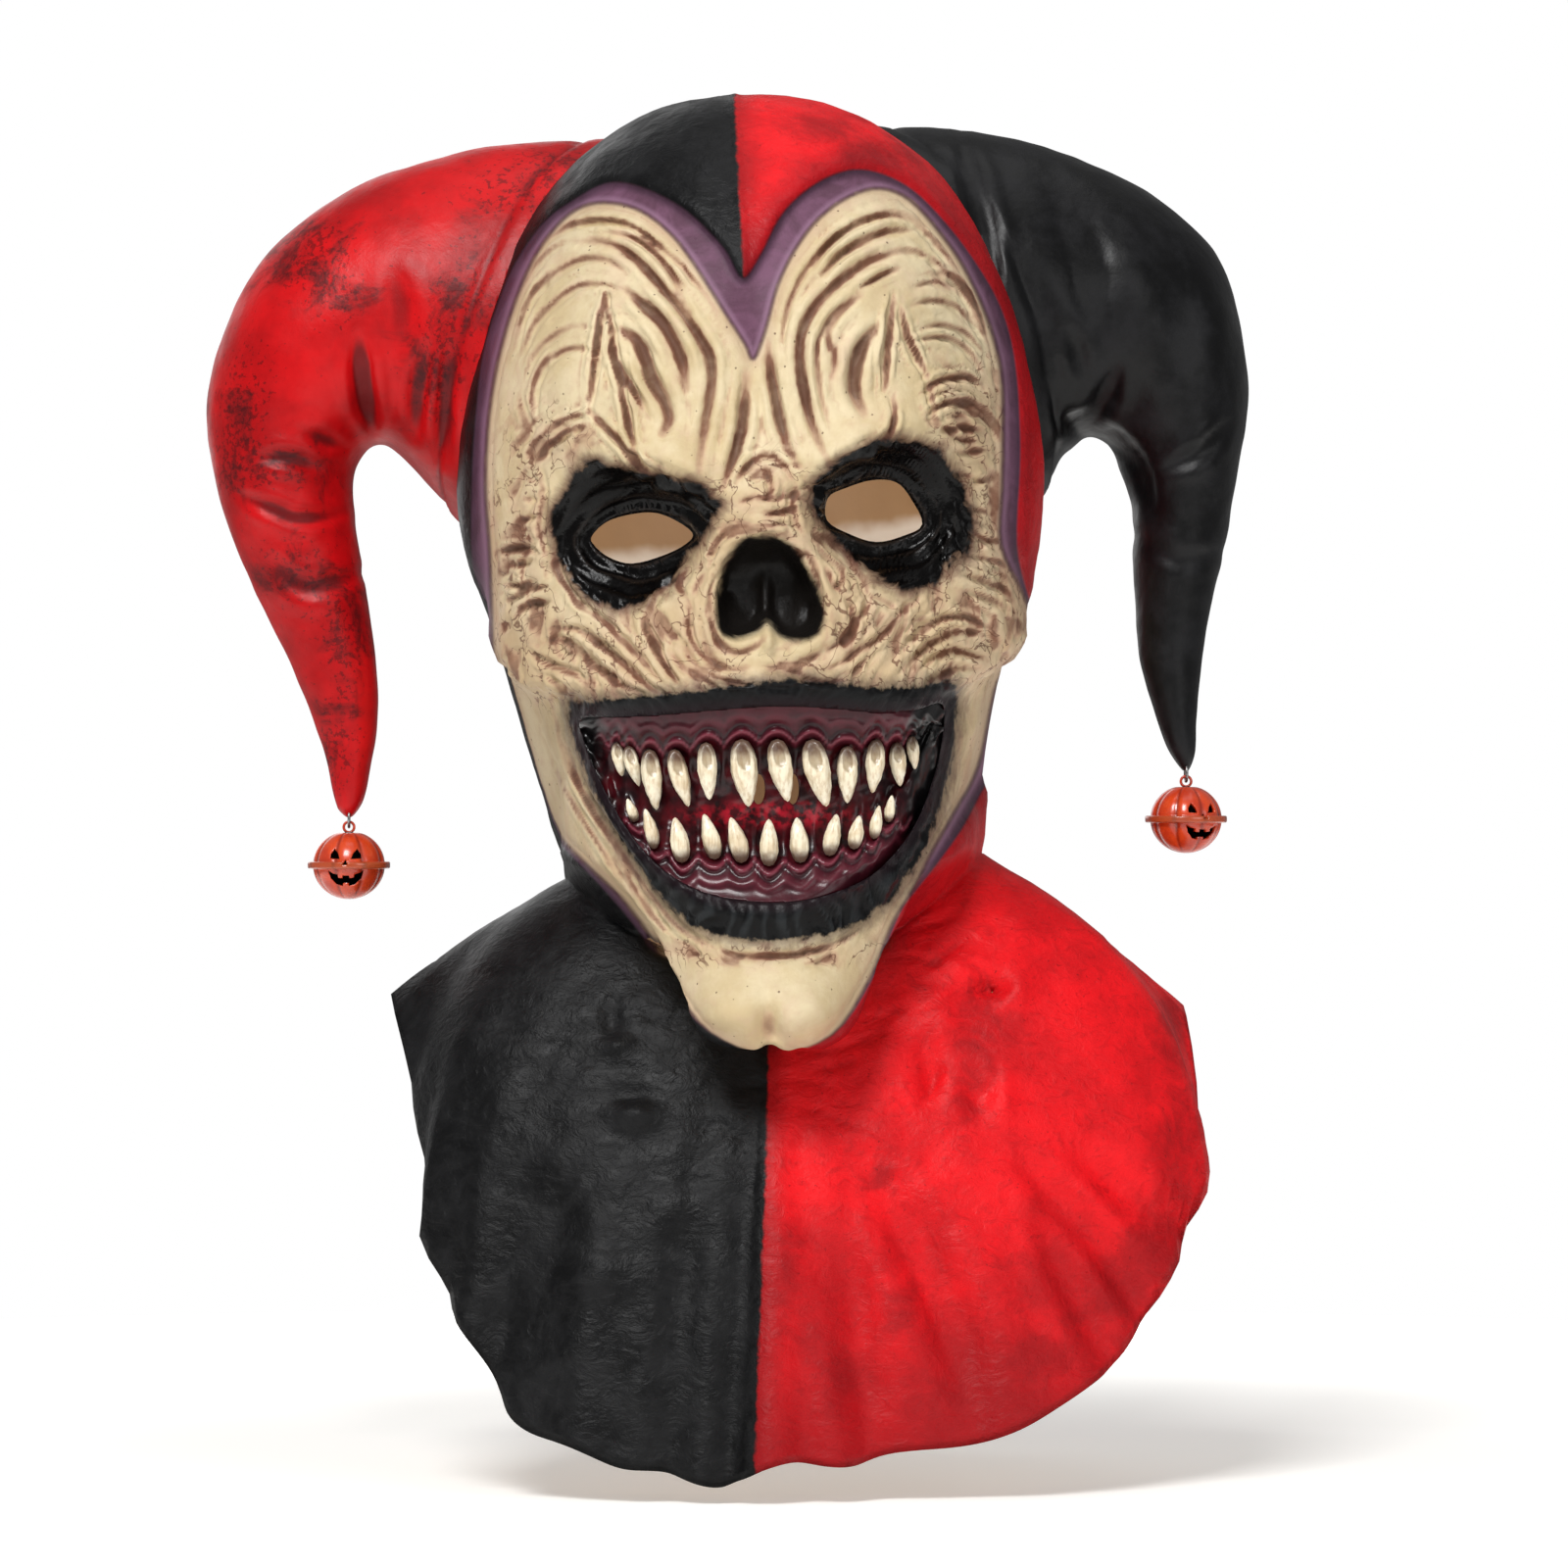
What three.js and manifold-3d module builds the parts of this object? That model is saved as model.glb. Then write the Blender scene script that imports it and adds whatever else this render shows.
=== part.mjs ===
// A full head jester mask: a hollow latex shell with a skull face, hood and shoulder bib,
// two hollow latex horns glued to the hood, a gum plate with separate fangs behind the lips,
// and a pumpkin shaped jingle bell on a wire ring at each horn's tip.
// Millimetres, +Z up, the face looks along -Y, and the origin is inside the crown, where a head bears.
import * as THREE from "three";
import { mergeVertices } from "three/addons/utils/BufferGeometryUtils.js";
import Module from "manifold-3d";

const wasm = await Module();
wasm.setup();

// Latex and clearances
const WALL = 2.2;
const GAP = 0.4;
const SOCKET_GAP = 0.3;

// The shell's grid: columns crowd together over the face, rows run from the crown to the bib's hem
const COLUMNS = 40;
const HEAD_ROWS = 29;
const THROAT_ROWS = 2;
const BIB_ROWS = 8;
const FACE_CROWDING = 0.38;
const CROWN_CROWDING = 1.25;

// Below the brow the soft sides sag towards +X, by this much for each square millimetre, and the front hardly
const LEAN = { rate: 0.0005, level: -112, frontShare: 0.2 };

// Level sections of the head, crown to chin. Each is a superellipse.
const HEAD_POWER = 2.25;
const CROWN = { z: WALL, y: 4 };
const HEAD = [
  { z: WALL, half: 1, front: 1, back: 1 },
  { z: -3, half: 26, front: 34, back: 34 },
  { z: -14, half: 46, front: 60, back: 58 },
  { z: -30, half: 62, front: 79, back: 78 },
  { z: -50, half: 73, front: 92, back: 91 },
  { z: -75, half: 82, front: 101, back: 99 },
  { z: -108, half: 88, front: 105, back: 101 },
  { z: -135, half: 87, front: 105, back: 98 },
  { z: -160, half: 80, front: 104, back: 93 },
  { z: -185, half: 73.5, front: 102, back: 86 },
  { z: -210, half: 67, front: 100, back: 78 },
  { z: -232, half: 63, front: 99, back: 70 },
  { z: -255, half: 52, front: 100, back: 68 },
  { z: -275, half: 42, front: 103, back: 66 },
  { z: -290, half: 30, front: 97, back: 66 },
];

// The jaw's lower border drops from the neck to the chin in front
const JAW = { neckZ: -232, chinZ: -287, angle: 25, power: 3 };
const NECK = { half: 63, front: 50, back: 66, z: -238, throatDrop: 30 };
const RED_SHOULDER_RISE = 8;

// Broad relief of the face, in mm along the head's radius. Tilt turns a form in the front view.
const RELIEF = [
  { form: "forehead_left", x: -36, z: -74, wide: 26, high: 24, tilt: 15, rise: 4, power: 1 },
  { form: "forehead_right", x: 33, z: -70, wide: 26, high: 24, tilt: -15, rise: 4, power: 1 },
  { form: "forehead_cleft", x: -2, z: -84, wide: 7, high: 26, tilt: 0, rise: -3, power: 1 },
  { form: "brow_left", x: -35, z: -114, wide: 27, high: 8, tilt: -17, rise: 7, power: 1 },
  { form: "brow_right", x: 33, z: -107, wide: 27, high: 8, tilt: 21, rise: 7, power: 1 },
  { form: "nose_bridge", x: -1, z: -132, wide: 9, high: 13, tilt: 0, rise: 5, power: 1 },
  { form: "socket_left", x: -39, z: -135, wide: 20, high: 17, tilt: -8, rise: -15, power: 2 },
  { form: "socket_right", x: 36, z: -129, wide: 19, high: 18, tilt: 8, rise: -15, power: 2 },
  { form: "nose_hole", x: 0, z: -152, wide: 14, high: 13, tilt: 0, rise: -18, power: 2 },
  { form: "nose_rim", x: 0, z: -158, wide: 24, high: 15, tilt: 0, rise: 4, power: 1 },
  { form: "cheekbone_left", x: -70, z: -162, wide: 15, high: 11, tilt: 0, rise: 4, power: 1 },
  { form: "cheekbone_right", x: 70, z: -160, wide: 15, high: 11, tilt: 0, rise: 7, power: 1 },
  { form: "cheek_hollow_left", x: -66, z: -203, wide: 15, high: 22, tilt: -12, rise: -5, power: 1 },
  { form: "cheek_hollow_right", x: 64, z: -203, wide: 15, high: 22, tilt: 12, rise: -5, power: 1 },
  { form: "upper_lip", x: -2, z: -179, wide: 50, high: 7, tilt: 0, rise: 4, power: 1 },
  { form: "chin_left", x: -13, z: -275, wide: 12, high: 12, tilt: 0, rise: 5, power: 1 },
  { form: "chin_right", x: 11, z: -275, wide: 12, high: 12, tilt: 0, rise: 5, power: 1 },
];

// Openings through the face, as seen from the front
const EYES = [
  { x: -35.5, z: -136, half: 15, high: 7.2, tilt: 2 },
  { x: 36, z: -128.5, half: 14.5, high: 8.4, tilt: -8 },
];
const MOUTH = { x: -2, half: 53, topZ: -190, arch: 4, depth: 54, power: 2.2, round: 0.8 };
const LIP = { rise: 3.5, width: 6 };

// The bib's two halves, from the throat over the shoulder to the hem, by angle from the front.
// knee is where the latex would turn a corner between the shoulder's slope and the chest.
const BIB_BLACK = [
  { angle: 0, kneeX: 0, kneeY: -86, kneeZ: -316, hemX: -6, hemY: -104, hemZ: -412 },
  { angle: 20, kneeX: -30, kneeY: -82, kneeZ: -308, hemX: -42, hemY: -98, hemZ: -410 },
  { angle: 40, kneeX: -62, kneeY: -68, kneeZ: -288, hemX: -73, hemY: -84, hemZ: -394 },
  { angle: 55, kneeX: -84, kneeY: -54, kneeZ: -274, hemX: -90, hemY: -68, hemZ: -364 },
  { angle: 70, kneeX: -98, kneeY: -34, kneeZ: -266, hemX: -101, hemY: -42, hemZ: -326 },
  { angle: 90, kneeX: -96, kneeY: 0, kneeZ: -256, hemX: -108, hemY: 0, hemZ: -277 },
  { angle: 120, kneeX: -78, kneeY: 40, kneeZ: -256, hemX: -90, hemY: 50, hemZ: -290 },
  { angle: 150, kneeX: -42, kneeY: 68, kneeZ: -268, hemX: -48, hemY: 82, hemZ: -318 },
  { angle: 180, kneeX: 6, kneeY: 78, kneeZ: -274, hemX: 8, hemY: 94, hemZ: -330 },
];
const BIB_RED = [
  { angle: 0, kneeX: 0, kneeY: -86, kneeZ: -316, hemX: -6, hemY: -104, hemZ: -412 },
  { angle: 20, kneeX: 30, kneeY: -82, kneeZ: -308, hemX: 38, hemY: -100, hemZ: -405 },
  { angle: 40, kneeX: 70, kneeY: -68, kneeZ: -284, hemX: 88, hemY: -86, hemZ: -394 },
  { angle: 55, kneeX: 104, kneeY: -54, kneeZ: -264, hemX: 120, hemY: -70, hemZ: -364 },
  { angle: 70, kneeX: 128, kneeY: -34, kneeZ: -256, hemX: 131, hemY: -44, hemZ: -330 },
  { angle: 90, kneeX: 122, kneeY: 0, kneeZ: -252, hemX: 140, hemY: 0, hemZ: -276 },
  { angle: 120, kneeX: 92, kneeY: 40, kneeZ: -254, hemX: 112, hemY: 50, hemZ: -290 },
  { angle: 150, kneeX: 52, kneeY: 68, kneeZ: -268, hemX: 62, hemY: 82, hemZ: -318 },
  { angle: 180, kneeX: 6, kneeY: 78, kneeZ: -274, hemX: 8, hemY: 94, hemZ: -330 },
];
const FOLDS = { count: 11, rise: 2.6 };
const HEM = { waves: 19, rise: 2.2 };

// Horns: a row for each section, from inside the hood to the tip. A section spans from the horn's
// outer edge to its inner edge in the front view, and reaches deep before and behind its y.
const HORN_SIDES = 12;
const HORN_SOLID_SECTIONS = 2;
const HORN_RED = [
  { outerX: -30, outerZ: -9, innerX: -62, innerZ: -140, y: 30, deep: 52 },
  { outerX: -62, outerZ: -10, innerX: -84, innerZ: -130, y: 30, deep: 49 },
  { outerX: -91, outerZ: -14, innerX: -98, innerZ: -116, y: 29, deep: 45 },
  { outerX: -118, outerZ: -23, innerX: -107, innerZ: -107, y: 28, deep: 41 },
  { outerX: -140, outerZ: -38, innerX: -112.5, innerZ: -104, y: 27, deep: 38 },
  { outerX: -157, outerZ: -59, innerX: -117, innerZ: -106, y: 26, deep: 34 },
  { outerX: -165.5, outerZ: -90, innerX: -121, innerZ: -113, y: 24, deep: 29 },
  { outerX: -162, outerZ: -122, innerX: -121.5, innerZ: -124, y: 21, deep: 24 },
  { outerX: -151.5, outerZ: -148, innerX: -118.5, innerZ: -142, y: 18, deep: 18.5 },
  { outerX: -139, outerZ: -175, innerX: -114.5, innerZ: -167, y: 15, deep: 14 },
  { outerX: -130.5, outerZ: -196, innerX: -113.5, innerZ: -190, y: 12, deep: 9.5 },
  { outerX: -127, outerZ: -212, innerX: -116.5, innerZ: -208, y: 10, deep: 6 },
  { outerX: -125, outerZ: -219, innerX: -120, innerZ: -219, y: 9, deep: 3.4 },
];
const HORN_BLACK = [
  { outerX: 30, outerZ: -6, innerX: 52, innerZ: -138, y: 30, deep: 52 },
  { outerX: 58, outerZ: -5, innerX: 80, innerZ: -131, y: 30, deep: 49 },
  { outerX: 84, outerZ: -9, innerX: 92, innerZ: -119, y: 29, deep: 45 },
  { outerX: 106, outerZ: -16, innerX: 98, innerZ: -107, y: 28, deep: 42 },
  { outerX: 126, outerZ: -26, innerX: 104, innerZ: -102, y: 27, deep: 39 },
  { outerX: 144.5, outerZ: -43, innerX: 110, innerZ: -103, y: 26, deep: 35 },
  { outerX: 153.5, outerZ: -66, innerX: 115, innerZ: -108, y: 24, deep: 31 },
  { outerX: 155, outerZ: -95, innerX: 118.5, innerZ: -117, y: 22, deep: 26 },
  { outerX: 149.5, outerZ: -125, innerX: 120, innerZ: -129, y: 19, deep: 19.5 },
  { outerX: 144.5, outerZ: -148, innerX: 120, innerZ: -148, y: 16, deep: 14.5 },
  { outerX: 140.5, outerZ: -170, innerX: 121, innerZ: -169, y: 13, deep: 10 },
  { outerX: 138.5, outerZ: -191, innerX: 126.5, innerZ: -190, y: 10, deep: 6.5 },
  { outerX: 137.5, outerZ: -205, innerX: 132.5, innerZ: -205, y: 9, deep: 3.4 },
];

// Gum plate glued behind the lips, and the fangs set in it
const GUM = { overlap: 5, recess: 7, ridge: 3.5, wall: 2.2, clearance: 1.3 };
const GUM_GRID = { columns: 11, rows: 6, edge: 0.06 };
const BREATHING_SLOTS = [
  { x: -1.6, z: -210, wide: 4, high: 9 },
  { x: 8.6, z: -210, wide: 3.6, high: 9 },
];
const UPPER_FANGS = [
  { x: -43, z: -197, long: 10, wide: 3.4, slant: 1.5 },
  { x: -39.5, z: -198, long: 12, wide: 4, slant: 3 },
  { x: -33.5, z: -199, long: 18, wide: 5.4, slant: 2 },
  { x: -26.3, z: -199, long: 17, wide: 5.2, slant: 4 },
  { x: -17.3, z: -197, long: 17, wide: 5.2, slant: 1 },
  { x: -6.9, z: -196, long: 20, wide: 7, slant: 2 },
  { x: 3.6, z: -196, long: 18.5, wide: 6.4, slant: 3 },
  { x: 14, z: -196, long: 20, wide: 7, slant: 4 },
  { x: 24.5, z: -198, long: 17, wide: 5.4, slant: 0 },
  { x: 33.2, z: -196, long: 16, wide: 5, slant: -1 },
  { x: 39.8, z: -197, long: 13, wide: 4.4, slant: 1 },
  { x: 44.5, z: -195, long: 10, wide: 3.4, slant: 1 },
];
const LOWER_FANGS = [
  { x: -38, z: -219, long: 7, wide: 3.4, slant: -2 },
  { x: -32.4, z: -227, long: 12, wide: 4.2, slant: -2.5 },
  { x: -24.3, z: -231, long: 13.5, wide: 5.8, slant: -2 },
  { x: -14.7, z: -230, long: 13.5, wide: 5.6, slant: -3 },
  { x: -6.9, z: -231, long: 13.5, wide: 5.8, slant: -3 },
  { x: 1.2, z: -232, long: 14, wide: 5.6, slant: 0 },
  { x: 10.5, z: -231, long: 13.5, wide: 5.8, slant: -1 },
  { x: 19.2, z: -229, long: 12.5, wide: 5.2, slant: 2 },
  { x: 26.5, z: -227, long: 10, wide: 4.6, slant: 1.5 },
  { x: 32.6, z: -224, long: 10, wide: 3.8, slant: 1.5 },
  { x: 37, z: -219, long: 8, wide: 3.2, slant: 1 },
];

// Jingle bells: turn is how far the pumpkin's face is turned from the front
const BELL = { radius: 11, wall: 0.8, lobes: 8, lobeDepth: 0.35, flange: 13, flangeHalf: 0.55, squash: 0.95 };
const BELL_EYE = { radius: 1.6, wire: 0.42 };
const RING = { radius: 2.7, wire: 0.45, clearance: 0.7 };
const RING_DROP = 2.7;
const BELL_TURN_RED = -6;
const BELL_TURN_BLACK = 24;

// Paint and metal
const BONE_LATEX = { color: 0xe6d8b4, roughness: 0.6, metalness: 0 };
const RED_LATEX = { color: 0xc4161c, roughness: 0.5, metalness: 0 };
const BLACK_LATEX = { color: 0x1c1c1e, roughness: 0.55, metalness: 0 };
const GUM_LATEX = { color: 0x5c1524, roughness: 0.3, metalness: 0 };
const TOOTH_PAINT = { color: 0xe2d6b6, roughness: 0.4, metalness: 0 };
const BELL_PAINT = { color: 0xd8461f, roughness: 0.3, metalness: 0.2 };
const STEEL_WIRE = { color: 0x9a9a9c, roughness: 0.35, metalness: 1 };

const radians = THREE.MathUtils.degToRad;

// A smooth curve through one column of a table, read at a value of the column named by
function readTable(rows, by, column, at) {
  const rising = rows[0][by] < rows[rows.length - 1][by];
  const past = (row) => (rising ? row[by] >= at : row[by] <= at);
  const found = rows.findIndex(past);
  const end = Math.max(1, found < 0 ? rows.length - 1 : found);
  const start = end - 1;
  const slope = (i) => {
    const low = rows[Math.max(0, i - 1)];
    const high = rows[Math.min(rows.length - 1, i + 1)];
    return (high[column] - low[column]) / (high[by] - low[by]);
  };
  const span = rows[end][by] - rows[start][by];
  const t = THREE.MathUtils.clamp((at - rows[start][by]) / span, 0, 1);
  const ease = 3 * t ** 2 - 2 * t ** 3;
  const level = (1 - ease) * rows[start][column] + ease * rows[end][column];
  const lead = (t ** 3 - 2 * t ** 2 + t) * span * slope(start);
  return level + lead + (t ** 3 - t ** 2) * span * slope(end);
}

// Geometry and solids
function solidOf(geometry) {
  const bare = new THREE.BufferGeometry();
  bare.setAttribute("position", geometry.getAttribute("position"));
  if (geometry.index) bare.setIndex(geometry.index);
  const merged = mergeVertices(bare, 1e-4);
  const vertProperties = new Float32Array(merged.attributes.position.array);
  const triVerts = new Uint32Array(merged.index.array);
  return new wasm.Manifold(new wasm.Mesh({ numProp: 3, vertProperties, triVerts }));
}

function geometryOf(solid) {
  const mesh = solid.getMesh();
  const geometry = new THREE.BufferGeometry();
  geometry.setAttribute("position", new THREE.BufferAttribute(mesh.vertProperties, 3));
  geometry.setIndex(new THREE.BufferAttribute(mesh.triVerts, 1));
  geometry.computeVertexNormals();
  return geometry;
}

// A closed skin over rings of equal length, from a first point to a last one, split along short diagonals
function skin(first, rings, last) {
  const count = rings[0].length;
  const points = [first, ...rings.flat(), last];
  const corner = (row, column) => 1 + row * count + (column % count);
  const faces = [];
  for (let column = 0; column < count; column++) {
    faces.push(0, corner(0, column), corner(0, column + 1));
    for (let row = 0; row + 1 < rings.length; row++) {
      const [a, b] = [corner(row, column), corner(row, column + 1)];
      const [c, d] = [corner(row + 1, column), corner(row + 1, column + 1)];
      const falling = points[a].distanceTo(points[d]) < points[b].distanceTo(points[c]);
      faces.push(...(falling ? [a, c, d, a, d, b] : [a, c, b, b, c, d]));
    }
    const bottom = rings.length - 1;
    faces.push(points.length - 1, corner(bottom, column + 1), corner(bottom, column));
  }
  const geometry = new THREE.BufferGeometry().setFromPoints(points);
  geometry.setIndex(faces);
  return geometry;
}

// A closed slab between a grid of points and the same grid moved back
function slab(rows, back) {
  const width = rows[0].length;
  const front = rows.flat();
  const points = [...front, ...front.map((point) => point.clone().add(back))];
  const corner = (row, column) => row * width + column;
  const faces = [];
  const quad = (a, b, c, d) => faces.push(a, b, c, a, c, d);
  for (let row = 0; row + 1 < rows.length; row++) {
    for (let column = 0; column + 1 < width; column++) {
      const here = corner(row, column);
      const around = [here, here + width, here + width + 1, here + 1];
      quad(...around);
      quad(...around.map((index) => index + front.length).reverse());
    }
  }
  const edge = [];
  for (let column = 0; column + 1 < width; column++) edge.push(corner(0, column));
  for (let row = 0; row + 1 < rows.length; row++) edge.push(corner(row, width - 1));
  for (let column = width - 1; column > 0; column--) edge.push(corner(rows.length - 1, column));
  for (let row = rows.length - 1; row > 0; row--) edge.push(corner(row, 0));
  edge.forEach((here, i) => {
    const next = edge[(i + 1) % edge.length];
    quad(here, next, next + front.length, here + front.length);
  });
  const geometry = new THREE.BufferGeometry().setFromPoints(points);
  geometry.setIndex(faces);
  return geometry;
}

function middleOf(points) {
  return points.reduce((sum, point) => sum.add(point), new THREE.Vector3()).divideScalar(points.length);
}

// Face and head surface
function leanAt(z, turn) {
  const share = 1 - (1 - LEAN.frontShare) * Math.max(0, Math.cos(turn));
  return LEAN.rate * share * Math.max(0, LEAN.level - z) ** 2;
}

function mouthTop(x) {
  return MOUTH.topZ + MOUTH.arch * (1 - ((x - MOUTH.x) / MOUTH.half) ** 2);
}

function mouthBottom(x) {
  const across = Math.min(1, Math.abs((x - MOUTH.x) / MOUTH.half));
  return MOUTH.topZ - MOUTH.depth * (1 - across ** MOUTH.power) ** MOUTH.round;
}

function lipRise(x, z) {
  const across = Math.abs((x - MOUTH.x) / MOUTH.half);
  if (across > 1.1) return 0;
  const above = (z - mouthTop(x) - LIP.width / 2) / LIP.width;
  const below = (z - mouthBottom(x) + LIP.width / 2) / LIP.width;
  const fade = 1 - THREE.MathUtils.smoothstep(across, 0.8, 1.1);
  return LIP.rise * fade * (Math.exp(-(above ** 2)) * 0.5 + Math.exp(-(below ** 2)));
}

function faceRelief(x, z) {
  const forms = RELIEF.map(({ x: cx, z: cz, wide, high, tilt, rise, power }) => {
    const [cos, sin] = [Math.cos(radians(tilt)), Math.sin(radians(tilt))];
    const across = ((x - cx) * cos + (z - cz) * sin) / wide;
    const up = ((z - cz) * cos - (x - cx) * sin) / high;
    return rise * Math.exp(-((across ** 2 + up ** 2) ** power));
  });
  return forms.reduce((sum, rise) => sum + rise, lipRise(x, z));
}

function sectionRadius(turn, half, front, back) {
  const depth = Math.cos(turn) > 0 ? front : back;
  const across = Math.abs(Math.sin(turn) / half) ** HEAD_POWER;
  const along = Math.abs(Math.cos(turn) / depth) ** HEAD_POWER;
  return (across + along) ** (-1 / HEAD_POWER);
}

function shoulderRise(turn) {
  return RED_SHOULDER_RISE * Math.max(0, Math.sin(turn)) ** 3;
}

// share runs from the crown, 0, to the jaw's lower border, 1, and relief is the share of the face's forms
function headPoint(turn, share, relief) {
  const drop = Math.exp(-((Math.abs(turn) / radians(JAW.angle)) ** JAW.power));
  const jawZ = JAW.neckZ + shoulderRise(turn) + (JAW.chinZ - JAW.neckZ) * drop;
  const z = CROWN.z + (jawZ - CROWN.z) * share ** CROWN_CROWDING;
  const [half, front, back] = ["half", "front", "back"].map((column) => readTable(HEAD, "z", column, z));
  const radius = sectionRadius(turn, half, front, back);
  const facing = THREE.MathUtils.smoothstep(Math.cos(turn), -0.1, 0.25);
  const lean = leanAt(z, turn);
  const reach = radius + relief * facing * faceRelief(radius * Math.sin(turn) + lean, z);
  return new THREE.Vector3(reach * Math.sin(turn) + lean, -reach * Math.cos(turn), z);
}

function neckPoint(turn) {
  const radius = sectionRadius(turn, NECK.half, NECK.front, NECK.back);
  const z = NECK.z + shoulderRise(turn) - NECK.throatDrop * Math.max(0, Math.cos(turn)) ** 2;
  return new THREE.Vector3(radius * Math.sin(turn) + leanAt(z, turn), -radius * Math.cos(turn), z);
}

// share runs from the neck, 0, to the hem, 1
function bibPoint(turn, share) {
  const degrees = Math.abs(THREE.MathUtils.radToDeg(turn));
  const half = turn < 0 ? BIB_BLACK : BIB_RED;
  const read = (column) => readTable(half, "angle", column, degrees);
  const wave = HEM.rise * Math.sin(HEM.waves * turn + Math.sin(3 * turn));
  const knee = new THREE.Vector3(read("kneeX"), read("kneeY"), read("kneeZ"));
  const hem = new THREE.Vector3(read("hemX"), read("hemY"), read("hemZ") + wave);
  const point = new THREE.QuadraticBezierCurve3(neckPoint(turn), knee, hem).getPoint(share);
  const fold = FOLDS.rise * share ** 1.5 * Math.sin(FOLDS.count * turn + 0.8);
  return point.add(new THREE.Vector3(fold * Math.sin(turn), -fold * Math.cos(turn), 0));
}

function columnTurn(column) {
  const t = (2 * (column + 0.5)) / COLUMNS - 1;
  return Math.PI * (FACE_CROWDING * t + (1 - FACE_CROWDING) * t ** 3);
}

// Rings of points from the crown to the hem, with the face's relief in full, 1, or left out, 0
function shellRings(relief) {
  const turns = Array.from({ length: COLUMNS }, (_, column) => columnTurn(column));
  const ring = (pointAt) => turns.map(pointAt);
  const rings = [];
  for (let row = 1; row <= HEAD_ROWS; row++) {
    rings.push(ring((turn) => headPoint(turn, row / HEAD_ROWS, relief)));
  }
  for (let row = 1; row <= THROAT_ROWS; row++) {
    const share = row / (THROAT_ROWS + 1);
    rings.push(ring((turn) => headPoint(turn, 1, relief).lerp(neckPoint(turn), share)));
  }
  for (let row = 0; row <= BIB_ROWS; row++) rings.push(ring((turn) => bibPoint(turn, row / BIB_ROWS)));
  return rings;
}

// How the bare surface faces at each point, so that relief never makes the inner wall cross itself
function shellNormals() {
  const bare = shellRings(0);
  return bare.map((ring, row) =>
    ring.map((point, column) => {
      const before = row > 0 ? bare[row - 1][column] : crownPoint(CROWN.z);
      const after = bare[Math.min(row + 1, bare.length - 1)][column];
      const left = ring[(column + COLUMNS - 1) % COLUMNS];
      const right = ring[(column + 1) % COLUMNS];
      return after.clone().sub(before).cross(right.clone().sub(left)).normalize();
    }),
  );
}

function crownPoint(z) {
  return new THREE.Vector3(0, CROWN.y, z);
}

// The rings moved outwards, or inwards for a distance below zero
function offsetRings({ rings, normals }, distance) {
  return rings.map((ring, row) =>
    ring.map((point, column) => point.clone().addScaledVector(normals[row][column], distance)),
  );
}

// The space that the head fills, grown by a distance, used to trim what is glued to its outside
function headSpace(surface, distance) {
  const head = offsetRings(surface, distance).slice(0, HEAD_ROWS);
  return solidOf(skin(crownPoint(CROWN.z + distance), head, new THREE.Vector3(0, 0, JAW.neckZ)));
}

// A prism along Y that cuts an outline, drawn in the front view, through the face
const FACE_CUT = { from: -140, to: -45 };

function faceCutter(shape) {
  const depth = FACE_CUT.to - FACE_CUT.from;
  const prism = new THREE.ExtrudeGeometry(shape, { depth, bevelEnabled: false, curveSegments: 10 });
  return solidOf(prism.rotateX(Math.PI / 2).translate(0, FACE_CUT.to, 0));
}

function eyeShape({ x, z, half, high, tilt }) {
  const almond = new THREE.Shape();
  almond.moveTo(-half, 0);
  almond.bezierCurveTo(-half * 0.6, high * 1.2, half * 0.4, high * 1.5, half, 0);
  almond.bezierCurveTo(half * 0.4, -high * 1.3, -half * 0.6, -high * 1.3, -half, 0);
  const turned = almond.getPoints(6).map((p) => p.rotateAround(new THREE.Vector2(), radians(tilt)));
  return new THREE.Shape(turned.map((p) => p.add(new THREE.Vector2(x, z))));
}

function mouthShape(steps = 18) {
  const turns = Array.from({ length: steps + 1 }, (_, i) => (Math.PI * i) / steps);
  const xs = turns.map((turn) => MOUTH.x - MOUTH.half * Math.cos(turn));
  const lower = xs.map((x) => new THREE.Vector2(x, mouthBottom(x)));
  const upper = xs.slice(1, -1).map((x) => new THREE.Vector2(x, mouthTop(x)));
  return new THREE.Shape([...lower, ...upper.reverse()]);
}

// The latex shell
function maskShell(surface) {
  const inner = offsetRings(surface, -WALL).reverse();
  const walls = skin(crownPoint(CROWN.z), [...surface.rings, ...inner], crownPoint(CROWN.z - WALL));
  const cuts = [...EYES.map(eyeShape), mouthShape()].map(faceCutter);
  return cuts.reduce((shell, cut) => shell.subtract(cut), solidOf(walls));
}

// Horns
function hornRing({ outerX, outerZ, innerX, innerZ, y, deep }, shrink) {
  const middle = new THREE.Vector3((outerX + innerX) / 2, y, (outerZ + innerZ) / 2);
  const out = new THREE.Vector3(outerX, y, outerZ).sub(middle);
  const half = out.length() - shrink;
  out.normalize();
  const hand = Math.sign(middle.x);
  return Array.from({ length: HORN_SIDES }, (_, i) => {
    const turn = (hand * 2 * Math.PI * i) / HORN_SIDES;
    const point = middle.clone().addScaledVector(out, half * Math.cos(turn));
    point.y += (deep - shrink) * Math.sin(turn);
    return point;
  });
}

function hornTube(sections, shrink) {
  const rings = sections.map((section) => hornRing(section, shrink));
  return solidOf(skin(middleOf(rings[0]), rings, middleOf(rings[rings.length - 1])));
}

function hornTip(sections) {
  const { outerX, outerZ, innerX, innerZ, y } = sections[sections.length - 1];
  return new THREE.Vector3((outerX + innerX) / 2, y, (outerZ + innerZ) / 2);
}

function wireRing(sections, wire, sides, rounds) {
  const tip = hornTip(sections);
  const torus = new THREE.TorusGeometry(RING.radius, wire, sides, rounds);
  return torus.rotateY(Math.PI / 2).translate(tip.x, tip.y, tip.z - RING_DROP + RING.radius);
}

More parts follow.
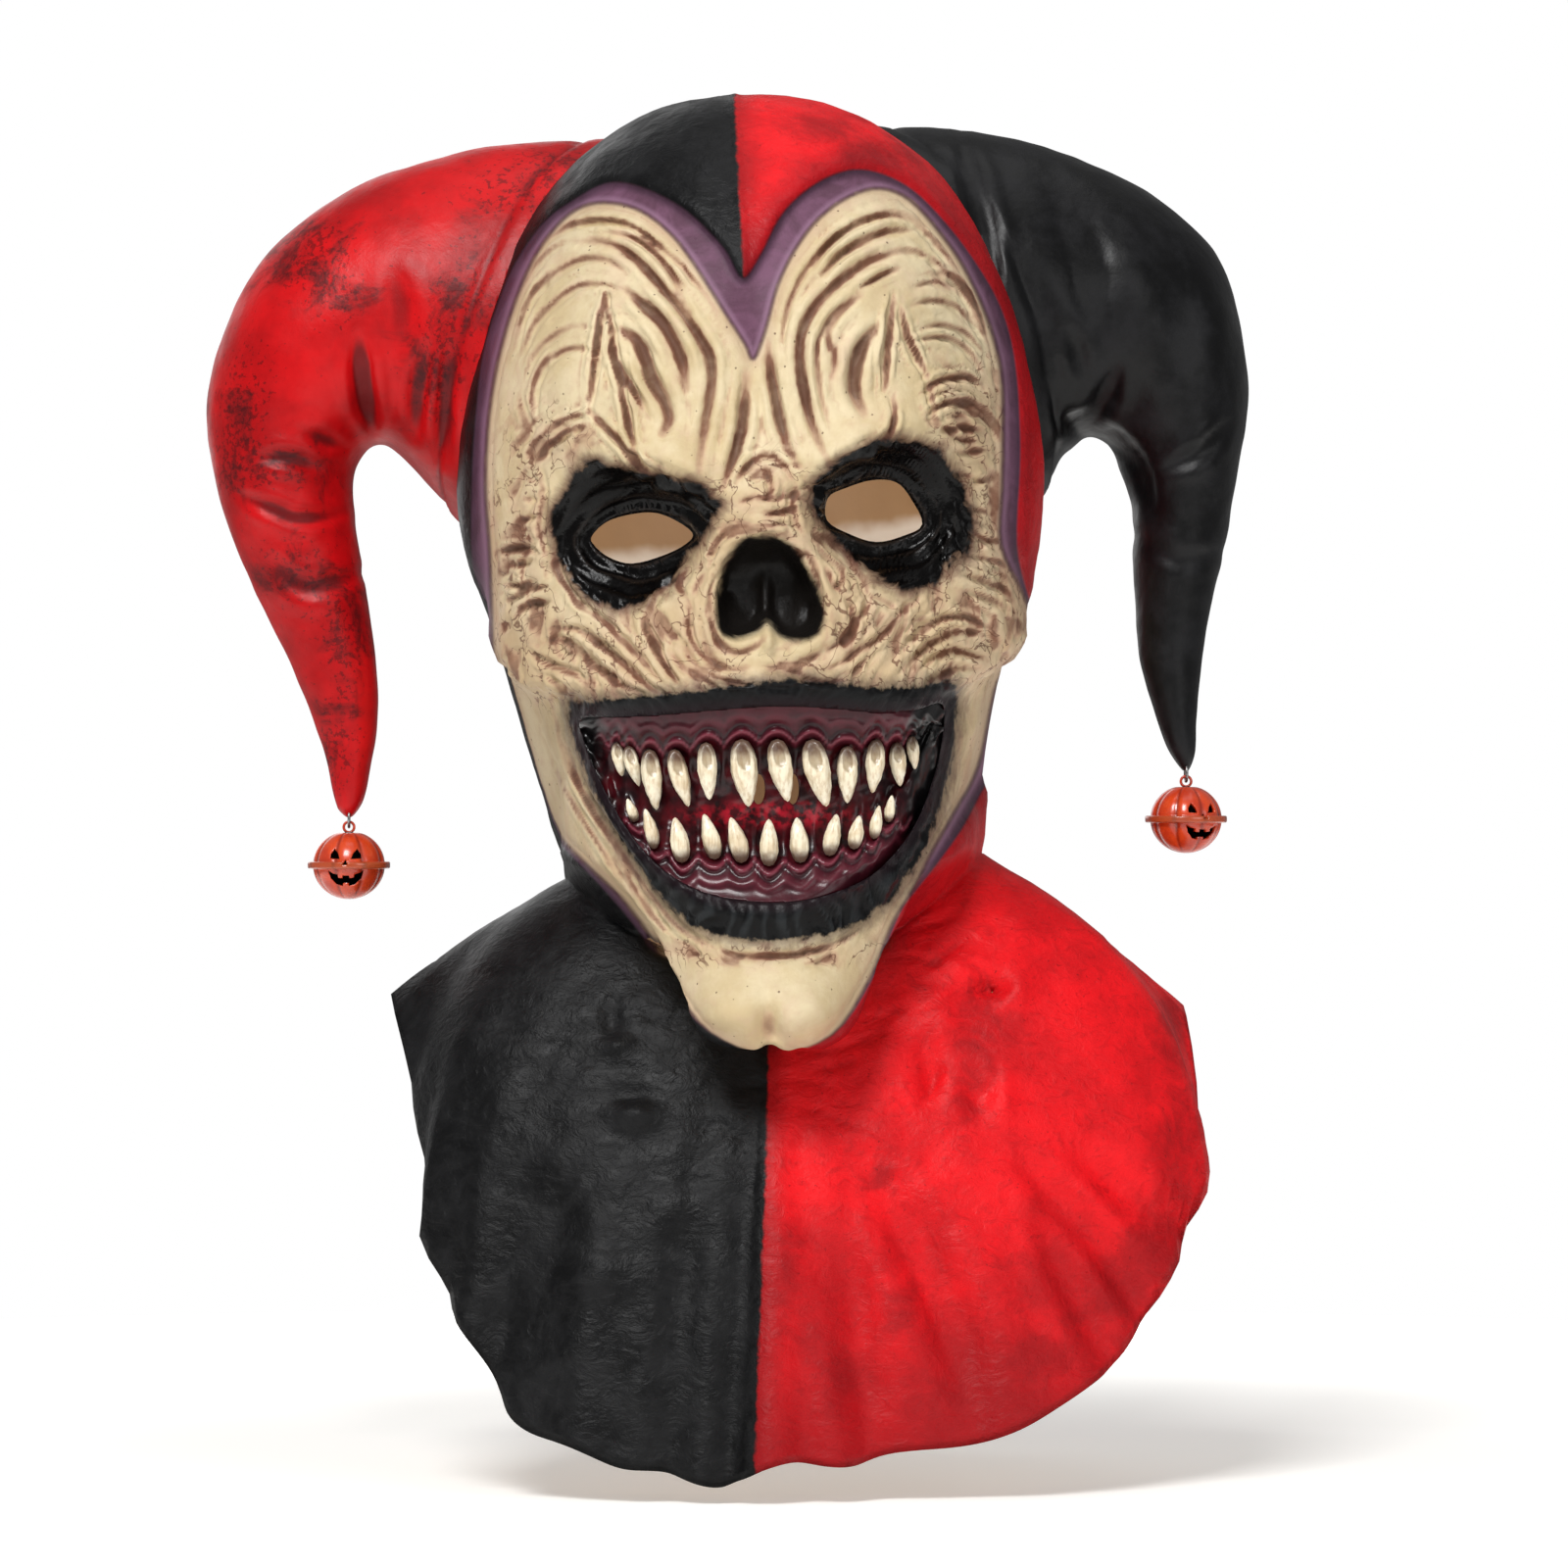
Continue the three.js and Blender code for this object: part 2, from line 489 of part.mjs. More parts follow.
function horn(sections, space) {
  const hollow = hornTube(sections.slice(0, -HORN_SOLID_SECTIONS), WALL);
  const tunnel = solidOf(wireRing(sections, RING.wire + RING.clearance, 4, 8));
  return hornTube(sections, 0).subtract(hollow).subtract(space).subtract(tunnel);
}

// Gum plate and fangs
function faceY(x, z) {
  const [half, front] = ["half", "front"].map((column) => readTable(HEAD, "z", column, z));
  const across = Math.min(0.98, Math.abs((x - leanAt(z, 0)) / half));
  const bare = front * (1 - across ** HEAD_POWER) ** (1 / HEAD_POWER);
  return -bare - faceRelief(x, z) * (1 - across ** 4);
}

// The gum's front face: its edge lies against the back of the lips and its middle is set back
function gumY(x, z) {
  const across = Math.min(1, Math.abs(x - MOUTH.x) / (MOUTH.half + GUM.overlap));
  const down = (mouthTop(x) - z) / Math.max(1, mouthTop(x) - mouthBottom(x));
  const middle = THREE.MathUtils.clamp(1 - (2 * down - 1) ** 2, 0, 1) * (1 - across ** 4);
  const ridges = Math.exp(-(((down - 0.14) / 0.1) ** 2)) + Math.exp(-(((down - 0.86) / 0.1) ** 2));
  return faceY(x, z) + 2 * WALL + GUM.recess * middle - GUM.ridge * ridges * (1 - across ** 4);
}

function gumPoint(across, share) {
  const x = MOUTH.x - (MOUTH.half + GUM.overlap) * Math.cos(Math.PI * across);
  const top = mouthTop(x) + GUM.overlap;
  const bottom = Math.min(mouthBottom(x), mouthTop(x) - GUM.overlap) - GUM.overlap;
  const z = top + (bottom - top) * share;
  return new THREE.Vector3(x, gumY(x, z), z);
}

function gumPlate(space) {
  const { columns, rows: steps, edge } = GUM_GRID;
  const acrosses = Array.from({ length: columns + 1 }, (_, i) => edge + ((1 - 2 * edge) * i) / columns);
  const shares = Array.from({ length: steps + 1 }, (_, i) => i / steps);
  const rows = shares.map((share) => acrosses.map((across) => gumPoint(across, share)));
  return solidOf(slab(rows, new THREE.Vector3(0, GUM.wall, 0))).intersect(space);
}

// A fang's outline from its root to its tip, and the short socket that takes the root
const FANG_SIDES = 6;
const FANG_STAND = 1;
const FANG_OUTLINE = [
  { share: 0, radius: 0.7 },
  { share: 0.25, radius: 1 },
  { share: 0.75, radius: 0.52 },
  { share: 1, radius: 0 },
];
const SOCKET_OUTLINE = [
  { share: 0, radius: 1 },
  { share: 0.6, radius: 1 },
];

function fang({ x, z, long, wide, slant }, down, outline, grow) {
  const line = outline.map(({ share, radius }) => {
    const height = share * long + (share > 0 ? grow : -grow);
    return new THREE.Vector2((radius * wide) / 2 + grow, height);
  });
  const ends = [new THREE.Vector2(0, line[0].y), ...line, new THREE.Vector2(0, line[line.length - 1].y)];
  const upright = down ? -1 : 1;
  const geometry = new THREE.LatheGeometry(ends, FANG_SIDES).rotateX((upright * Math.PI) / 2);
  return geometry.rotateY(upright * Math.asin(slant / long)).translate(x, gumY(x, z) - FANG_STAND, z);
}

// Bells
const BELL_FACE = { eyeX: 3.4, eyeZ: 2.2, eyeHalf: 1.6, eyeHigh: 2.6, grinHalf: 5, grinZ: -2, grinDrop: 4.4 };

function bellCutters(turn) {
  const { eyeX, eyeZ, eyeHalf, eyeHigh, grinHalf, grinZ, grinDrop } = BELL_FACE;
  const eye = (x) => {
    const corners = [[x - eyeHalf, eyeZ], [x + eyeHalf, eyeZ], [x, eyeZ + eyeHigh]];
    return new THREE.Shape(corners.map(([across, up]) => new THREE.Vector2(across, up)));
  };
  const grin = new THREE.Shape();
  grin.moveTo(-grinHalf, grinZ);
  grin.quadraticCurveTo(0, grinZ - grinDrop / 2, grinHalf, grinZ);
  grin.quadraticCurveTo(grinHalf / 2, grinZ - grinDrop, 0, grinZ - grinDrop);
  grin.quadraticCurveTo(-grinHalf / 2, grinZ - grinDrop, -grinHalf, grinZ);
  return [eye(-eyeX), eye(eyeX), grin].map((shape) => {
    const through = { depth: BELL.flange, bevelEnabled: false, curveSegments: 2 };
    const prism = new THREE.ExtrudeGeometry(shape, through);
    return solidOf(prism.rotateX(Math.PI / 2).rotateZ(radians(turn)));
  });
}

function bellBall(radius, segments, rows, lobeDepth) {
  const profile = Array.from({ length: rows + 1 }, (_, i) => {
    const turn = -Math.PI / 2 + (Math.PI * i) / rows;
    return new THREE.Vector2(Math.max(0, radius * Math.cos(turn)), radius * BELL.squash * Math.sin(turn));
  });
  profile[0].x = 0;
  profile[rows].x = 0;
  const ball = new THREE.LatheGeometry(profile, segments).rotateX(Math.PI / 2);
  const place = ball.getAttribute("position");
  for (let i = 0; i < place.count; i++) {
    const turn = Math.atan2(place.getY(i), place.getX(i));
    const scale = 1 - (lobeDepth * (1 - Math.abs(Math.cos((BELL.lobes / 2) * turn)))) / radius;
    place.setXY(i, place.getX(i) * scale, place.getY(i) * scale);
  }
  return solidOf(ball);
}

function bell(turn) {
  const flange = new THREE.CylinderGeometry(BELL.flange, BELL.flange, 2 * BELL.flangeHalf, 2 * BELL.lobes);
  const eye = new THREE.TorusGeometry(BELL_EYE.radius, BELL_EYE.wire, 5, 10).rotateX(Math.PI / 2);
  const eyeZ = BELL.radius * BELL.squash + BELL_EYE.radius - BELL_EYE.wire;
  const ball = bellBall(BELL.radius, 2 * BELL.lobes, 6, BELL.lobeDepth);
  const hollow = bellBall(BELL.radius - BELL.wall - BELL.lobeDepth, 10, 6, 0);
  const body = ball.add(solidOf(flange.rotateX(Math.PI / 2))).subtract(hollow);
  const cut = bellCutters(turn).reduce((solid, cutter) => solid.subtract(cutter), body);
  return { solid: cut.add(solidOf(eye.translate(0, 0, eyeZ))), eyeZ };
}

// The mask
const mask = new THREE.Group();

function place(name, geometry, finish, parent = mask) {
  const mesh = new THREE.Mesh(geometry, new THREE.MeshStandardMaterial(finish));
  mesh.name = name;
  parent.add(mesh);
}

const surface = { rings: shellRings(1), normals: shellNormals() };
const trim = headSpace(surface, GAP);
place("mask_shell", geometryOf(maskShell(surface)), BONE_LATEX);
place("horn_red", geometryOf(horn(HORN_RED, trim)), RED_LATEX);
place("horn_black", geometryOf(horn(HORN_BLACK, trim)), BLACK_LATEX);

function numbered(row, i, jaw) {
  return { name: `${jaw}_fang_${String(i + 1).padStart(2, "0")}`, row, down: jaw === "upper" };
}

const fangs = [
  ...UPPER_FANGS.map((row, i) => numbered(row, i, "upper")),
  ...LOWER_FANGS.map((row, i) => numbered(row, i, "lower")),
];
const slots = BREATHING_SLOTS.map(({ x, z, wide, high }) =>
  solidOf(new THREE.BoxGeometry(wide, -FACE_CUT.to, high).translate(x, 2 * FACE_CUT.to, z)),
);
const sockets = fangs.map(({ row, down }) => solidOf(fang(row, down, SOCKET_OUTLINE, SOCKET_GAP)));
const plate = gumPlate(headSpace(surface, -WALL - GUM.clearance));
const gum = [...slots, ...sockets].reduce((left, cut) => left.subtract(cut), plate);
place("gum_plate", geometryOf(gum), GUM_LATEX);
for (const { name, row, down } of fangs) place(name, fang(row, down, FANG_OUTLINE, 0), TOOTH_PAINT);

const hangings = [
  { side: "red", sections: HORN_RED, turn: BELL_TURN_RED },
  { side: "black", sections: HORN_BLACK, turn: BELL_TURN_BLACK },
];
for (const { side, sections, turn } of hangings) {
  const tip = hornTip(sections);
  const { solid, eyeZ } = bell(turn);
  const hung = new THREE.Group();
  hung.position.set(tip.x, tip.y, tip.z - RING_DROP - eyeZ);
  mask.add(hung);
  place(`wire_ring_${side}`, wireRing(sections, RING.wire, 5, 10), STEEL_WIRE);
  place(`bell_${side}`, geometryOf(solid), BELL_PAINT, hung);
}

export default mask;
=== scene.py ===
# Looks of a full head jester mask: a painted latex shell, two horns, gums, fangs and two jingle bells.
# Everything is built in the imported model's frame: metres, +Z up, and the face looks along -Y.
import math

import bmesh
import bpy
import numpy as np
from mathutils import Matrix, Vector, noise


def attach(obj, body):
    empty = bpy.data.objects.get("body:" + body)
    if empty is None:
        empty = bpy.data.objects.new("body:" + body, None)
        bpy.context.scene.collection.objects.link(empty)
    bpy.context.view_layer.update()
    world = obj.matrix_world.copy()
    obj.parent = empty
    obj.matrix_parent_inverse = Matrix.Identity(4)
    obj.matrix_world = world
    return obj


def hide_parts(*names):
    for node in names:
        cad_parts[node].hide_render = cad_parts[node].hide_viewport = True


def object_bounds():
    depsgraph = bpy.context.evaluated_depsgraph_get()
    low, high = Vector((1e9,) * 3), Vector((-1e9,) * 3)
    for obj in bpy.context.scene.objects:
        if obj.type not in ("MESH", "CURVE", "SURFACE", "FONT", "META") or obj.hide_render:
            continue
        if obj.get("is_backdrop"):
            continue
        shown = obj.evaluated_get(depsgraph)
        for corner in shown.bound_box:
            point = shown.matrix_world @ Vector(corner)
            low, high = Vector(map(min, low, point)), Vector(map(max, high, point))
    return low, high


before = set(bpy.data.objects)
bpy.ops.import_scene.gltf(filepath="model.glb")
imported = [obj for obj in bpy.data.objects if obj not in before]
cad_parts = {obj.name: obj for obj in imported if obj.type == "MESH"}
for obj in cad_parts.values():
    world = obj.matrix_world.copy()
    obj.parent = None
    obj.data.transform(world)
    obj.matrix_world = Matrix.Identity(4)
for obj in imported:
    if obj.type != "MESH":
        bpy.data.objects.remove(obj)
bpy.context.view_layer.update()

# The view: the mask is seen level with its middle through a long lens that stands three degrees towards -X.
# A pale floor lies under the bib's hem, large soft lamps stand round the mask, and a small one lights its inside.
MM = 0.001
VIEW_TARGET = np.array([10.5, 0.0, -208.5])
VIEW_DISTANCE = 2400.0
VIEW_WIDTH = 480.0
VIEW_TURN = math.radians(3)
SENSOR = 36.0
FORWARD = np.array([math.sin(VIEW_TURN), math.cos(VIEW_TURN), 0.0])
RIGHT = np.array([math.cos(VIEW_TURN), -math.sin(VIEW_TURN), 0.0])
UP = np.array([0.0, 0.0, 1.0])
VIEW_FROM = VIEW_TARGET - VIEW_DISTANCE * FORWARD
FLOOR = {"z": -0.4195, "radius": 0.75, "colour": "f4f3f0"}
# The floor's own glow: where it grows from and to, in m from the middle, and its strength there
FLOOR_GLOW = (0.46, 0.72, 0.3, 1.1)
# Lamps: name, place and size in m, and power in W
LAMPS = [
    ("key_lamp", (-0.4, -1.1, 0.85), 0.5, 21.0),
    ("fill_lamp", (0.9, -1.5, 0.2), 0.8, 4.6),
    ("top_lamp", (0.1, 0.0, 1.2), 0.9, 3.0),
    ("back_lamp", (-0.5, 1.5, 0.3), 1.0, 4.0),
]
INSIDE_LAMP = {"place": (0.0, 0.0, -0.09), "power": 0.16, "size": 0.04}


def linear(hex_colour):
    """An sRGB hex colour as linear red, green, blue and alpha."""
    parts = [int(hex_colour[i : i + 2], 16) / 255 for i in (0, 2, 4)]
    return (*[p / 12.92 if p <= 0.04045 else ((p + 0.055) / 1.055) ** 2.4 for p in parts], 1.0)


def plug(tree, node, inputs):
    """Sets a node's inputs to values, or links them to the outputs of other nodes."""
    for socket, value in inputs.items():
        if isinstance(value, bpy.types.NodeSocket):
            tree.links.new(value, node.inputs[socket])
        else:
            node.inputs[socket].default_value = value


def add(tree, kind, inputs, out=0, **settings):
    """Adds a shader node with its settings and inputs, and gives one of its outputs."""
    node = tree.nodes.new("ShaderNode" + kind)
    for name, value in settings.items():
        setattr(node, name, value)
    plug(tree, node, inputs)
    return node.outputs[out] if len(node.outputs) else None


def new_material(name):
    """A material with its node tree, its main shader and the coordinates of its object."""
    material = bpy.data.materials.new(name)
    material.use_nodes = True
    tree = material.node_tree
    return material, tree, tree.nodes["Principled BSDF"], add(tree, "TexCoord", {}, "Object")


def new_piece(name, bm, *materials):
    """A smooth shaded object made from a bmesh."""
    for face in bm.faces:
        face.smooth = True
    mesh = bpy.data.meshes.new(name)
    bm.to_mesh(mesh)
    bm.free()
    for material in materials:
        mesh.materials.append(material)
    made = bpy.data.objects.new(name, mesh)
    scene.collection.objects.link(made)
    return made


scene = bpy.context.scene
scene.view_settings.view_transform = "Standard"
lens = bpy.data.cameras.new("studio_camera")
lens.sensor_width = SENSOR
lens.lens = SENSOR * VIEW_DISTANCE / VIEW_WIDTH
camera = bpy.data.objects.new("studio_camera", lens)
camera.location = Vector(VIEW_FROM * MM)
camera.rotation_euler = (math.pi / 2, 0, -VIEW_TURN)
scene.collection.objects.link(camera)
scene.camera = camera

for name, place, size, power in LAMPS:
    lamp = bpy.data.lights.new(name, "AREA")
    lamp.size = size
    lamp.energy = power
    stand = bpy.data.objects.new(name, lamp)
    stand.location = place
    stand.rotation_euler = (Vector(VIEW_TARGET * MM) - Vector(place)).to_track_quat("-Z", "Y").to_euler()
    scene.collection.objects.link(stand)
bulb = bpy.data.lights.new("inside_lamp", "POINT")
bulb.energy = INSIDE_LAMP["power"]
bulb.shadow_soft_size = INSIDE_LAMP["size"]
inside = bpy.data.objects.new("inside_lamp", bulb)
inside.location = INSIDE_LAMP["place"]
scene.collection.objects.link(inside)

studio = bpy.data.worlds.new("studio")
scene.world = studio
studio.use_nodes = True
sky = studio.node_tree
sky.nodes.clear()
seen = add(sky, "Background", {"Color": (1, 1, 1, 1), "Strength": 1.0})
lit = add(sky, "Background", {"Color": (1, 1, 1, 1), "Strength": 0.24})
straight = add(sky, "LightPath", {}, "Is Camera Ray")
add(sky, "OutputWorld", {"Surface": add(sky, "MixShader", {0: straight, 1: lit, 2: seen})})

pale_floor, tree, shader, coords = new_material("pale_matt_floor")
# It fades into the white of the room towards its rim, so that no horizon shows
away = add(tree, "VectorMath", {0: coords}, "Value", operation="LENGTH")
glow = add(tree, "MapRange", {0: away, **dict(enumerate(FLOOR_GLOW, 1))}, interpolation_type="SMOOTHSTEP")
plug(tree, shader, {"Base Color": linear(FLOOR["colour"]), "Roughness": 0.9,
                    "Emission Color": linear(FLOOR["colour"]), "Emission Strength": glow})
bm = bmesh.new()
bmesh.ops.create_circle(bm, cap_ends=True, segments=96, radius=FLOOR["radius"])
bmesh.ops.translate(bm, verts=bm.verts, vec=(0, 0, FLOOR["z"]))
floor = new_piece("studio_floor", bm, pale_floor)
floor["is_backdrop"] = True

# The shell: one slush cast latex skin, hood, skull face, neck and bib in one, open below and thickest in the face.
# It is cast in a plaster mould and painted by hand: black and red halves, a mauve band, bone skin with a brown
# wash in its cuts. Its skin starts as a flat grid that is wrapped round the head, sculpted and hollowed.
WALL = 2.2
FACE_WALL = 4.6
COLUMNS, ROWS = 132, 146
FINE_SHARE = 0.35
HEAD_END, THROAT_END = 0.74, 0.77
LINING_COLUMNS, LINING_ROWS = 72, 100
LINING_DOWN = ((0, 0.5, 0.72, 1), (0, 0.7, 0.8, 1.04))
# Where the fans of faces that close the shell and its lining below come together, in mm
SHELL_APEX, LINING_APEX = (10, 0, -300), (10, 0, -520)
# The finer parts of the grid: half its width on the face and the bib, the face's top, and the gap at the throat
FINE_FACE, FINE_BIB, FACE_TOP, THROAT_GAP = 0.61, 0.56, 0.06, 0.012
HEAD_POWER = 2.25
CROWN_Z = 2.2
# Level sections of the head: depth below the crown's inside, half width, reach to the front and to the back
HEAD = np.array([
    (-2.2, 1, 1, 1), (3, 26, 34, 34), (14, 46, 60, 58), (30, 62, 79, 78), (50, 73, 92, 91),
    (75, 82, 101, 99), (108, 88, 105, 101), (135, 87, 105, 98), (160, 80, 104, 93), (185, 73.5, 102, 86),
    (210, 68, 100, 78), (232, 63, 99, 70), (255, 52, 100, 68), (275, 42, 103, 66), (290, 30, 97, 66),
], float)
JAW = {"neck": -232, "chin": -287, "angle": 25}
NECK = {"half": 63, "front": 50, "back": 66, "z": -238, "throat": 30}
RED_SHOULDER = 8
LEAN = {"rate": 0.0005, "level": -112, "front": 0.2}
# Broad forms of the face: x, z, half width, half height, tilt, rise and power, in mm and degrees
FORMS = np.array([
    (-36, -74, 26, 24, 15, 4, 1), (33, -70, 26, 24, -15, 4, 1), (-2, -84, 7, 26, 0, -3, 1),
    (-35, -114, 27, 8, -17, 7, 1), (33, -107, 27, 8, 21, 7, 1), (-1, -132, 9, 13, 0, 5, 1),
    (-39, -135, 20, 17, -8, -15, 2), (36, -129, 19, 18, 8, -15, 2), (0, -152, 14, 13, 0, -10, 2),
    (0, -158, 24, 15, 0, 4, 1), (-70, -162, 15, 11, 0, 4, 1), (70, -160, 15, 11, 0, 7, 1),
    (-66, -203, 15, 22, -12, -5, 1), (64, -203, 15, 22, 12, -5, 1), (-2, -179, 50, 7, 0, 4, 1),
    (-13, -275, 12, 12, 0, 5, 1), (11, -275, 12, 12, 0, 5, 1),
], float)
MOUTH = {"x": -2, "half": 53, "top": -190, "arch": 4, "depth": 54, "power": 2.2, "round": 0.8}
LIP = {"rise": 3.5, "width": 6}
# The bib's halves: angle from the front, then the knee and the hem in x, y, z
BIB_BLACK = np.array([
    (0, 0, -86, -316, -6, -104, -412), (20, -30, -82, -308, -42, -98, -410),
    (40, -62, -68, -288, -73, -84, -394), (55, -84, -54, -274, -90, -68, -364),
    (70, -99, -34, -266, -100, -42, -326), (80, -96, -17, -260, -105, -22, -300), (90, -85, 0, -254.5, -107, 0, -276),
    (120, -78, 40, -256, -90, 50, -290), (150, -42, 68, -268, -48, 82, -318), (180, 6, 78, -274, 8, 94, -330),
], float)
BIB_RED = np.array([
    (0, 0, -86, -316, -6, -104, -412), (20, 30, -82, -308, 38, -100, -405),
    (40, 70, -68, -284, 88, -86, -394), (55, 104, -54, -264, 120, -70, -364),
    (70, 128, -34, -256, 131, -44, -330), (80, 122, -17, -255, 135.5, -23, -302), (90, 103, 0, -252, 135, 0, -275),
    (120, 92, 40, -254, 112, 50, -290), (150, 52, 68, -268, 62, 82, -318), (180, 6, 78, -274, 8, 94, -330),
], float)
FOLDS = {"count": 11, "rise": 3.2}
HEM = {"waves": 19, "rise": 1.3, "sway": 1.8, "scallops": 31, "reach": 1.8}

# Fine forms, outlines and cuts are drawn on a front view sheet 1600 units wide, about 0.29 mm each on the face.
# A drawing is a part of that sheet: its corner and how much larger it is drawn.
SHEET = 1600
UNIT = 0.29
# Openings drawn on the sheet are cut from and to these y, in mm
CUT_FROM, CUT_TO = -150, -40
BROW_DRAWING = (470, 90, 2.57)
CHEEK_DRAWING = (470, 430, 2.57)
MOUTH_DRAWING = (560, 680, 3.564)
BIB_DRAWING = (560, 850, 2.306)
HOOD_EDGE = [
    (758, 284), (742, 258), (727, 240), (703, 217), (676, 200), (645, 188), (618, 187), (587, 203), (556, 226),
    (528, 265), (509, 308), (493, 362), (486, 421), (482, 479), (481, 560), (486, 610), (492, 660), (503, 720),
    (524, 790), (558, 846), (590, 880), (620, 912), (655, 955), (682, 1005), (722, 1052), (785, 1076),
    (850, 1056), (890, 1000), (914, 942), (928, 917), (953, 886), (981, 847), (1003, 806), (1030, 760), (1050, 706),
    (1066, 655), (1050, 610), (1038, 557), (1041, 479), (1041, 440), (1038, 386), (1030, 339), (1015, 300),
    (991, 261), (964, 226), (933, 195), (902, 178), (871, 173), (840, 183), (812, 203), (793, 226), (777, 258),
]
SKIN_EDGE = [
    (769, 366), (760, 350), (742, 322), (711, 273), (688, 242), (661, 219), (633, 208), (602, 208), (575, 223),
    (548, 257), (528, 300), (513, 347), (503, 393), (497, 440), (495, 498), (499, 560), (501, 620), (503, 670),
    (512, 724), (534, 792), (566, 848), (600, 884), (632, 915), (664, 958), (686, 1005), (724, 1054), (785, 1078),
    (848, 1058), (887, 1000), (910, 944), (924, 920), (936, 900), (951, 870), (965, 845), (979, 820), (991, 800),
    (1002, 770), (1012, 720), (1022, 690), (1056, 655), (1046, 610), (1022, 557), (1023, 498), (1024, 440),
    (1022, 378), (1007, 323), (984, 273), (960, 238), (929, 204), (898, 192), (867, 200), (836, 222), (812, 253),
    (793, 292), (781, 336),
]
SEAM = np.array([(105, 750), (280, 758), (362, 768), (1060, 784), (1200, 781), (1490, 770)], float)
SOCKETS = [
    [(598, 473), (571, 508), (569, 547), (583, 586), (606, 609), (633, 617), (661, 613), (688, 582), (707, 556),
     (731, 523), (727, 510), (688, 490), (649, 479), (624, 474)],
    [(828, 502), (855, 473), (890, 453), (929, 451), (960, 465), (980, 496), (987, 535), (980, 562), (956, 590),
     (929, 599), (898, 590), (871, 566), (847, 540), (832, 522)],
]
EYES = [
    [(604, 547), (622, 531), (657, 523), (681, 527), (706, 543), (700, 555), (676, 567), (645, 575), (622, 569),
     (607, 557)],
    [(845, 508), (863, 498), (890, 490), (914, 492), (929, 508), (941, 535), (921, 547), (894, 553), (867, 545),
     (844, 531)],
]
NOSE = [
    (777, 547), (758, 551), (742, 574), (733, 601), (731, 632), (738, 648), (754, 652), (770, 645), (783, 634),
    (797, 648), (816, 654), (834, 648), (840, 628), (836, 605), (824, 582), (809, 562), (793, 549),
]
MOUTH_HOLE = [
    (118, 190), (250, 185), (400, 178), (600, 160), (760, 148), (900, 146), (1050, 155), (1200, 168),
    (1330, 160), (1433, 140), (1425, 300), (1385, 450), (1330, 580), (1250, 690), (1150, 775), (1000, 835),
    (850, 857), (700, 850), (560, 820), (430, 750), (320, 640), (230, 500), (160, 360), (125, 260),
]
LIPS = [
    (70, 130), (110, 128), (300, 112), (500, 92), (700, 70), (880, 48), (1100, 66), (1300, 78), (1470, 55),
    (1480, 200), (1455, 380), (1395, 600), (1290, 790), (1160, 915), (1000, 978), (800, 998), (620, 978),
    (500, 930), (400, 830), (300, 690), (200, 530), (130, 380), (85, 240),
]
# Knobs and hollows on the sheet: place, half width, half height and rise in mm
KNOBS = [
    (688, 458, 26, 22, 3.8), (640, 415, 20, 44, 2.2), (577, 388, 28, 30, 2.0), (862, 455, 24, 22, 3.6),
    (912, 405, 20, 40, 1.8), (955, 392, 26, 26, 1.8), (526, 680, 26, 22, 3.0), (1020, 650, 24, 26, 2.0),
    (783, 650, 7, 16, 5.0), (560, 690, 30, 16, 1.6), (985, 690, 36, 16, 1.6), (629, 1069, 14, 10, 2.6),
    (625, 1041, 10, 22, -1.6), (642, 1117, 22, 10, -2.2), (647, 1140, 18, 10, 3.0), (660, 1162, 22, 9, -1.2),
    (1011, 1008, 16, 9, -4.5), (1036, 1012, 14, 22, 3.0), (985, 990, 24, 12, 2.4), (959, 1041, 16, 24, 2.6),
    (950, 1097, 13, 28, -4.0), (996, 1121, 14, 22, -2.4), (1024, 1124, 10, 26, 1.6), (905, 1075, 22, 16, 1.8),
    (1040, 945, 16, 9, 2.0), (700, 1240, 30, 22, 1.4), (620, 1300, 36, 26, 1.6), (560, 1180, 40, 30, 1.4),
    (612, 442, 26, 14, 2.4), (712, 478, 16, 13, 3.0), (838, 472, 15, 13, 2.6), (884, 436, 26, 14, 2.2),
    (975, 440, 24, 18, 1.6), (540, 700, 30, 8, 1.6), (1000, 676, 26, 8, 1.6), (640, 650, 26, 10, 1.4),
    (910, 628, 26, 10, 1.4), (742, 1036, 34, 24, 2.4), (830, 1036, 34, 24, 2.4), (783, 618, 6, 24, 3.4),
]
# Ledges under the cheeks on the sheet: where they fade in, where they are full, and their points
LEDGES = [
    (955, 990, [(940, 716), (985, 703), (1010, 690), (1040, 674), (1070, 660)]),
    (605, 565, [(500, 668), (530, 692), (560, 709), (610, 716)]),
]
# Zones of rough, cracked skin on the sheet: place, half width and half height
ROUGH = [
    (535, 560, 40, 110), (600, 655, 90, 42), (785, 512, 52, 52), (780, 690, 190, 26), (1008, 520, 40, 120),
    (955, 640, 80, 46), (572, 448, 40, 34), (985, 420, 42, 52), (700, 640, 40, 50), (870, 620, 40, 60),
    (700, 972, 70, 16), (860, 972, 60, 16), (560, 690, 60, 30), (1000, 600, 46, 60), (830, 560, 30, 60),
    (735, 570, 26, 60),
]
# Zones of dark smudges on the red half, given like those of rough skin
SMUDGES = [
    (830, 130, 70, 22), (900, 160, 50, 20), (1195, 1040, 25, 60), (1205, 1160, 30, 60), (1130, 1320, 60, 40),
    (1180, 1270, 40, 40), (960, 1430, 60, 30), (850, 1400, 30, 60), (920, 1335, 40, 40), (1000, 1040, 40, 40),
    (985, 1125, 30, 40), (900, 1200, 30, 30), (1060, 1390, 50, 30), (800, 1300, 25, 90),
]
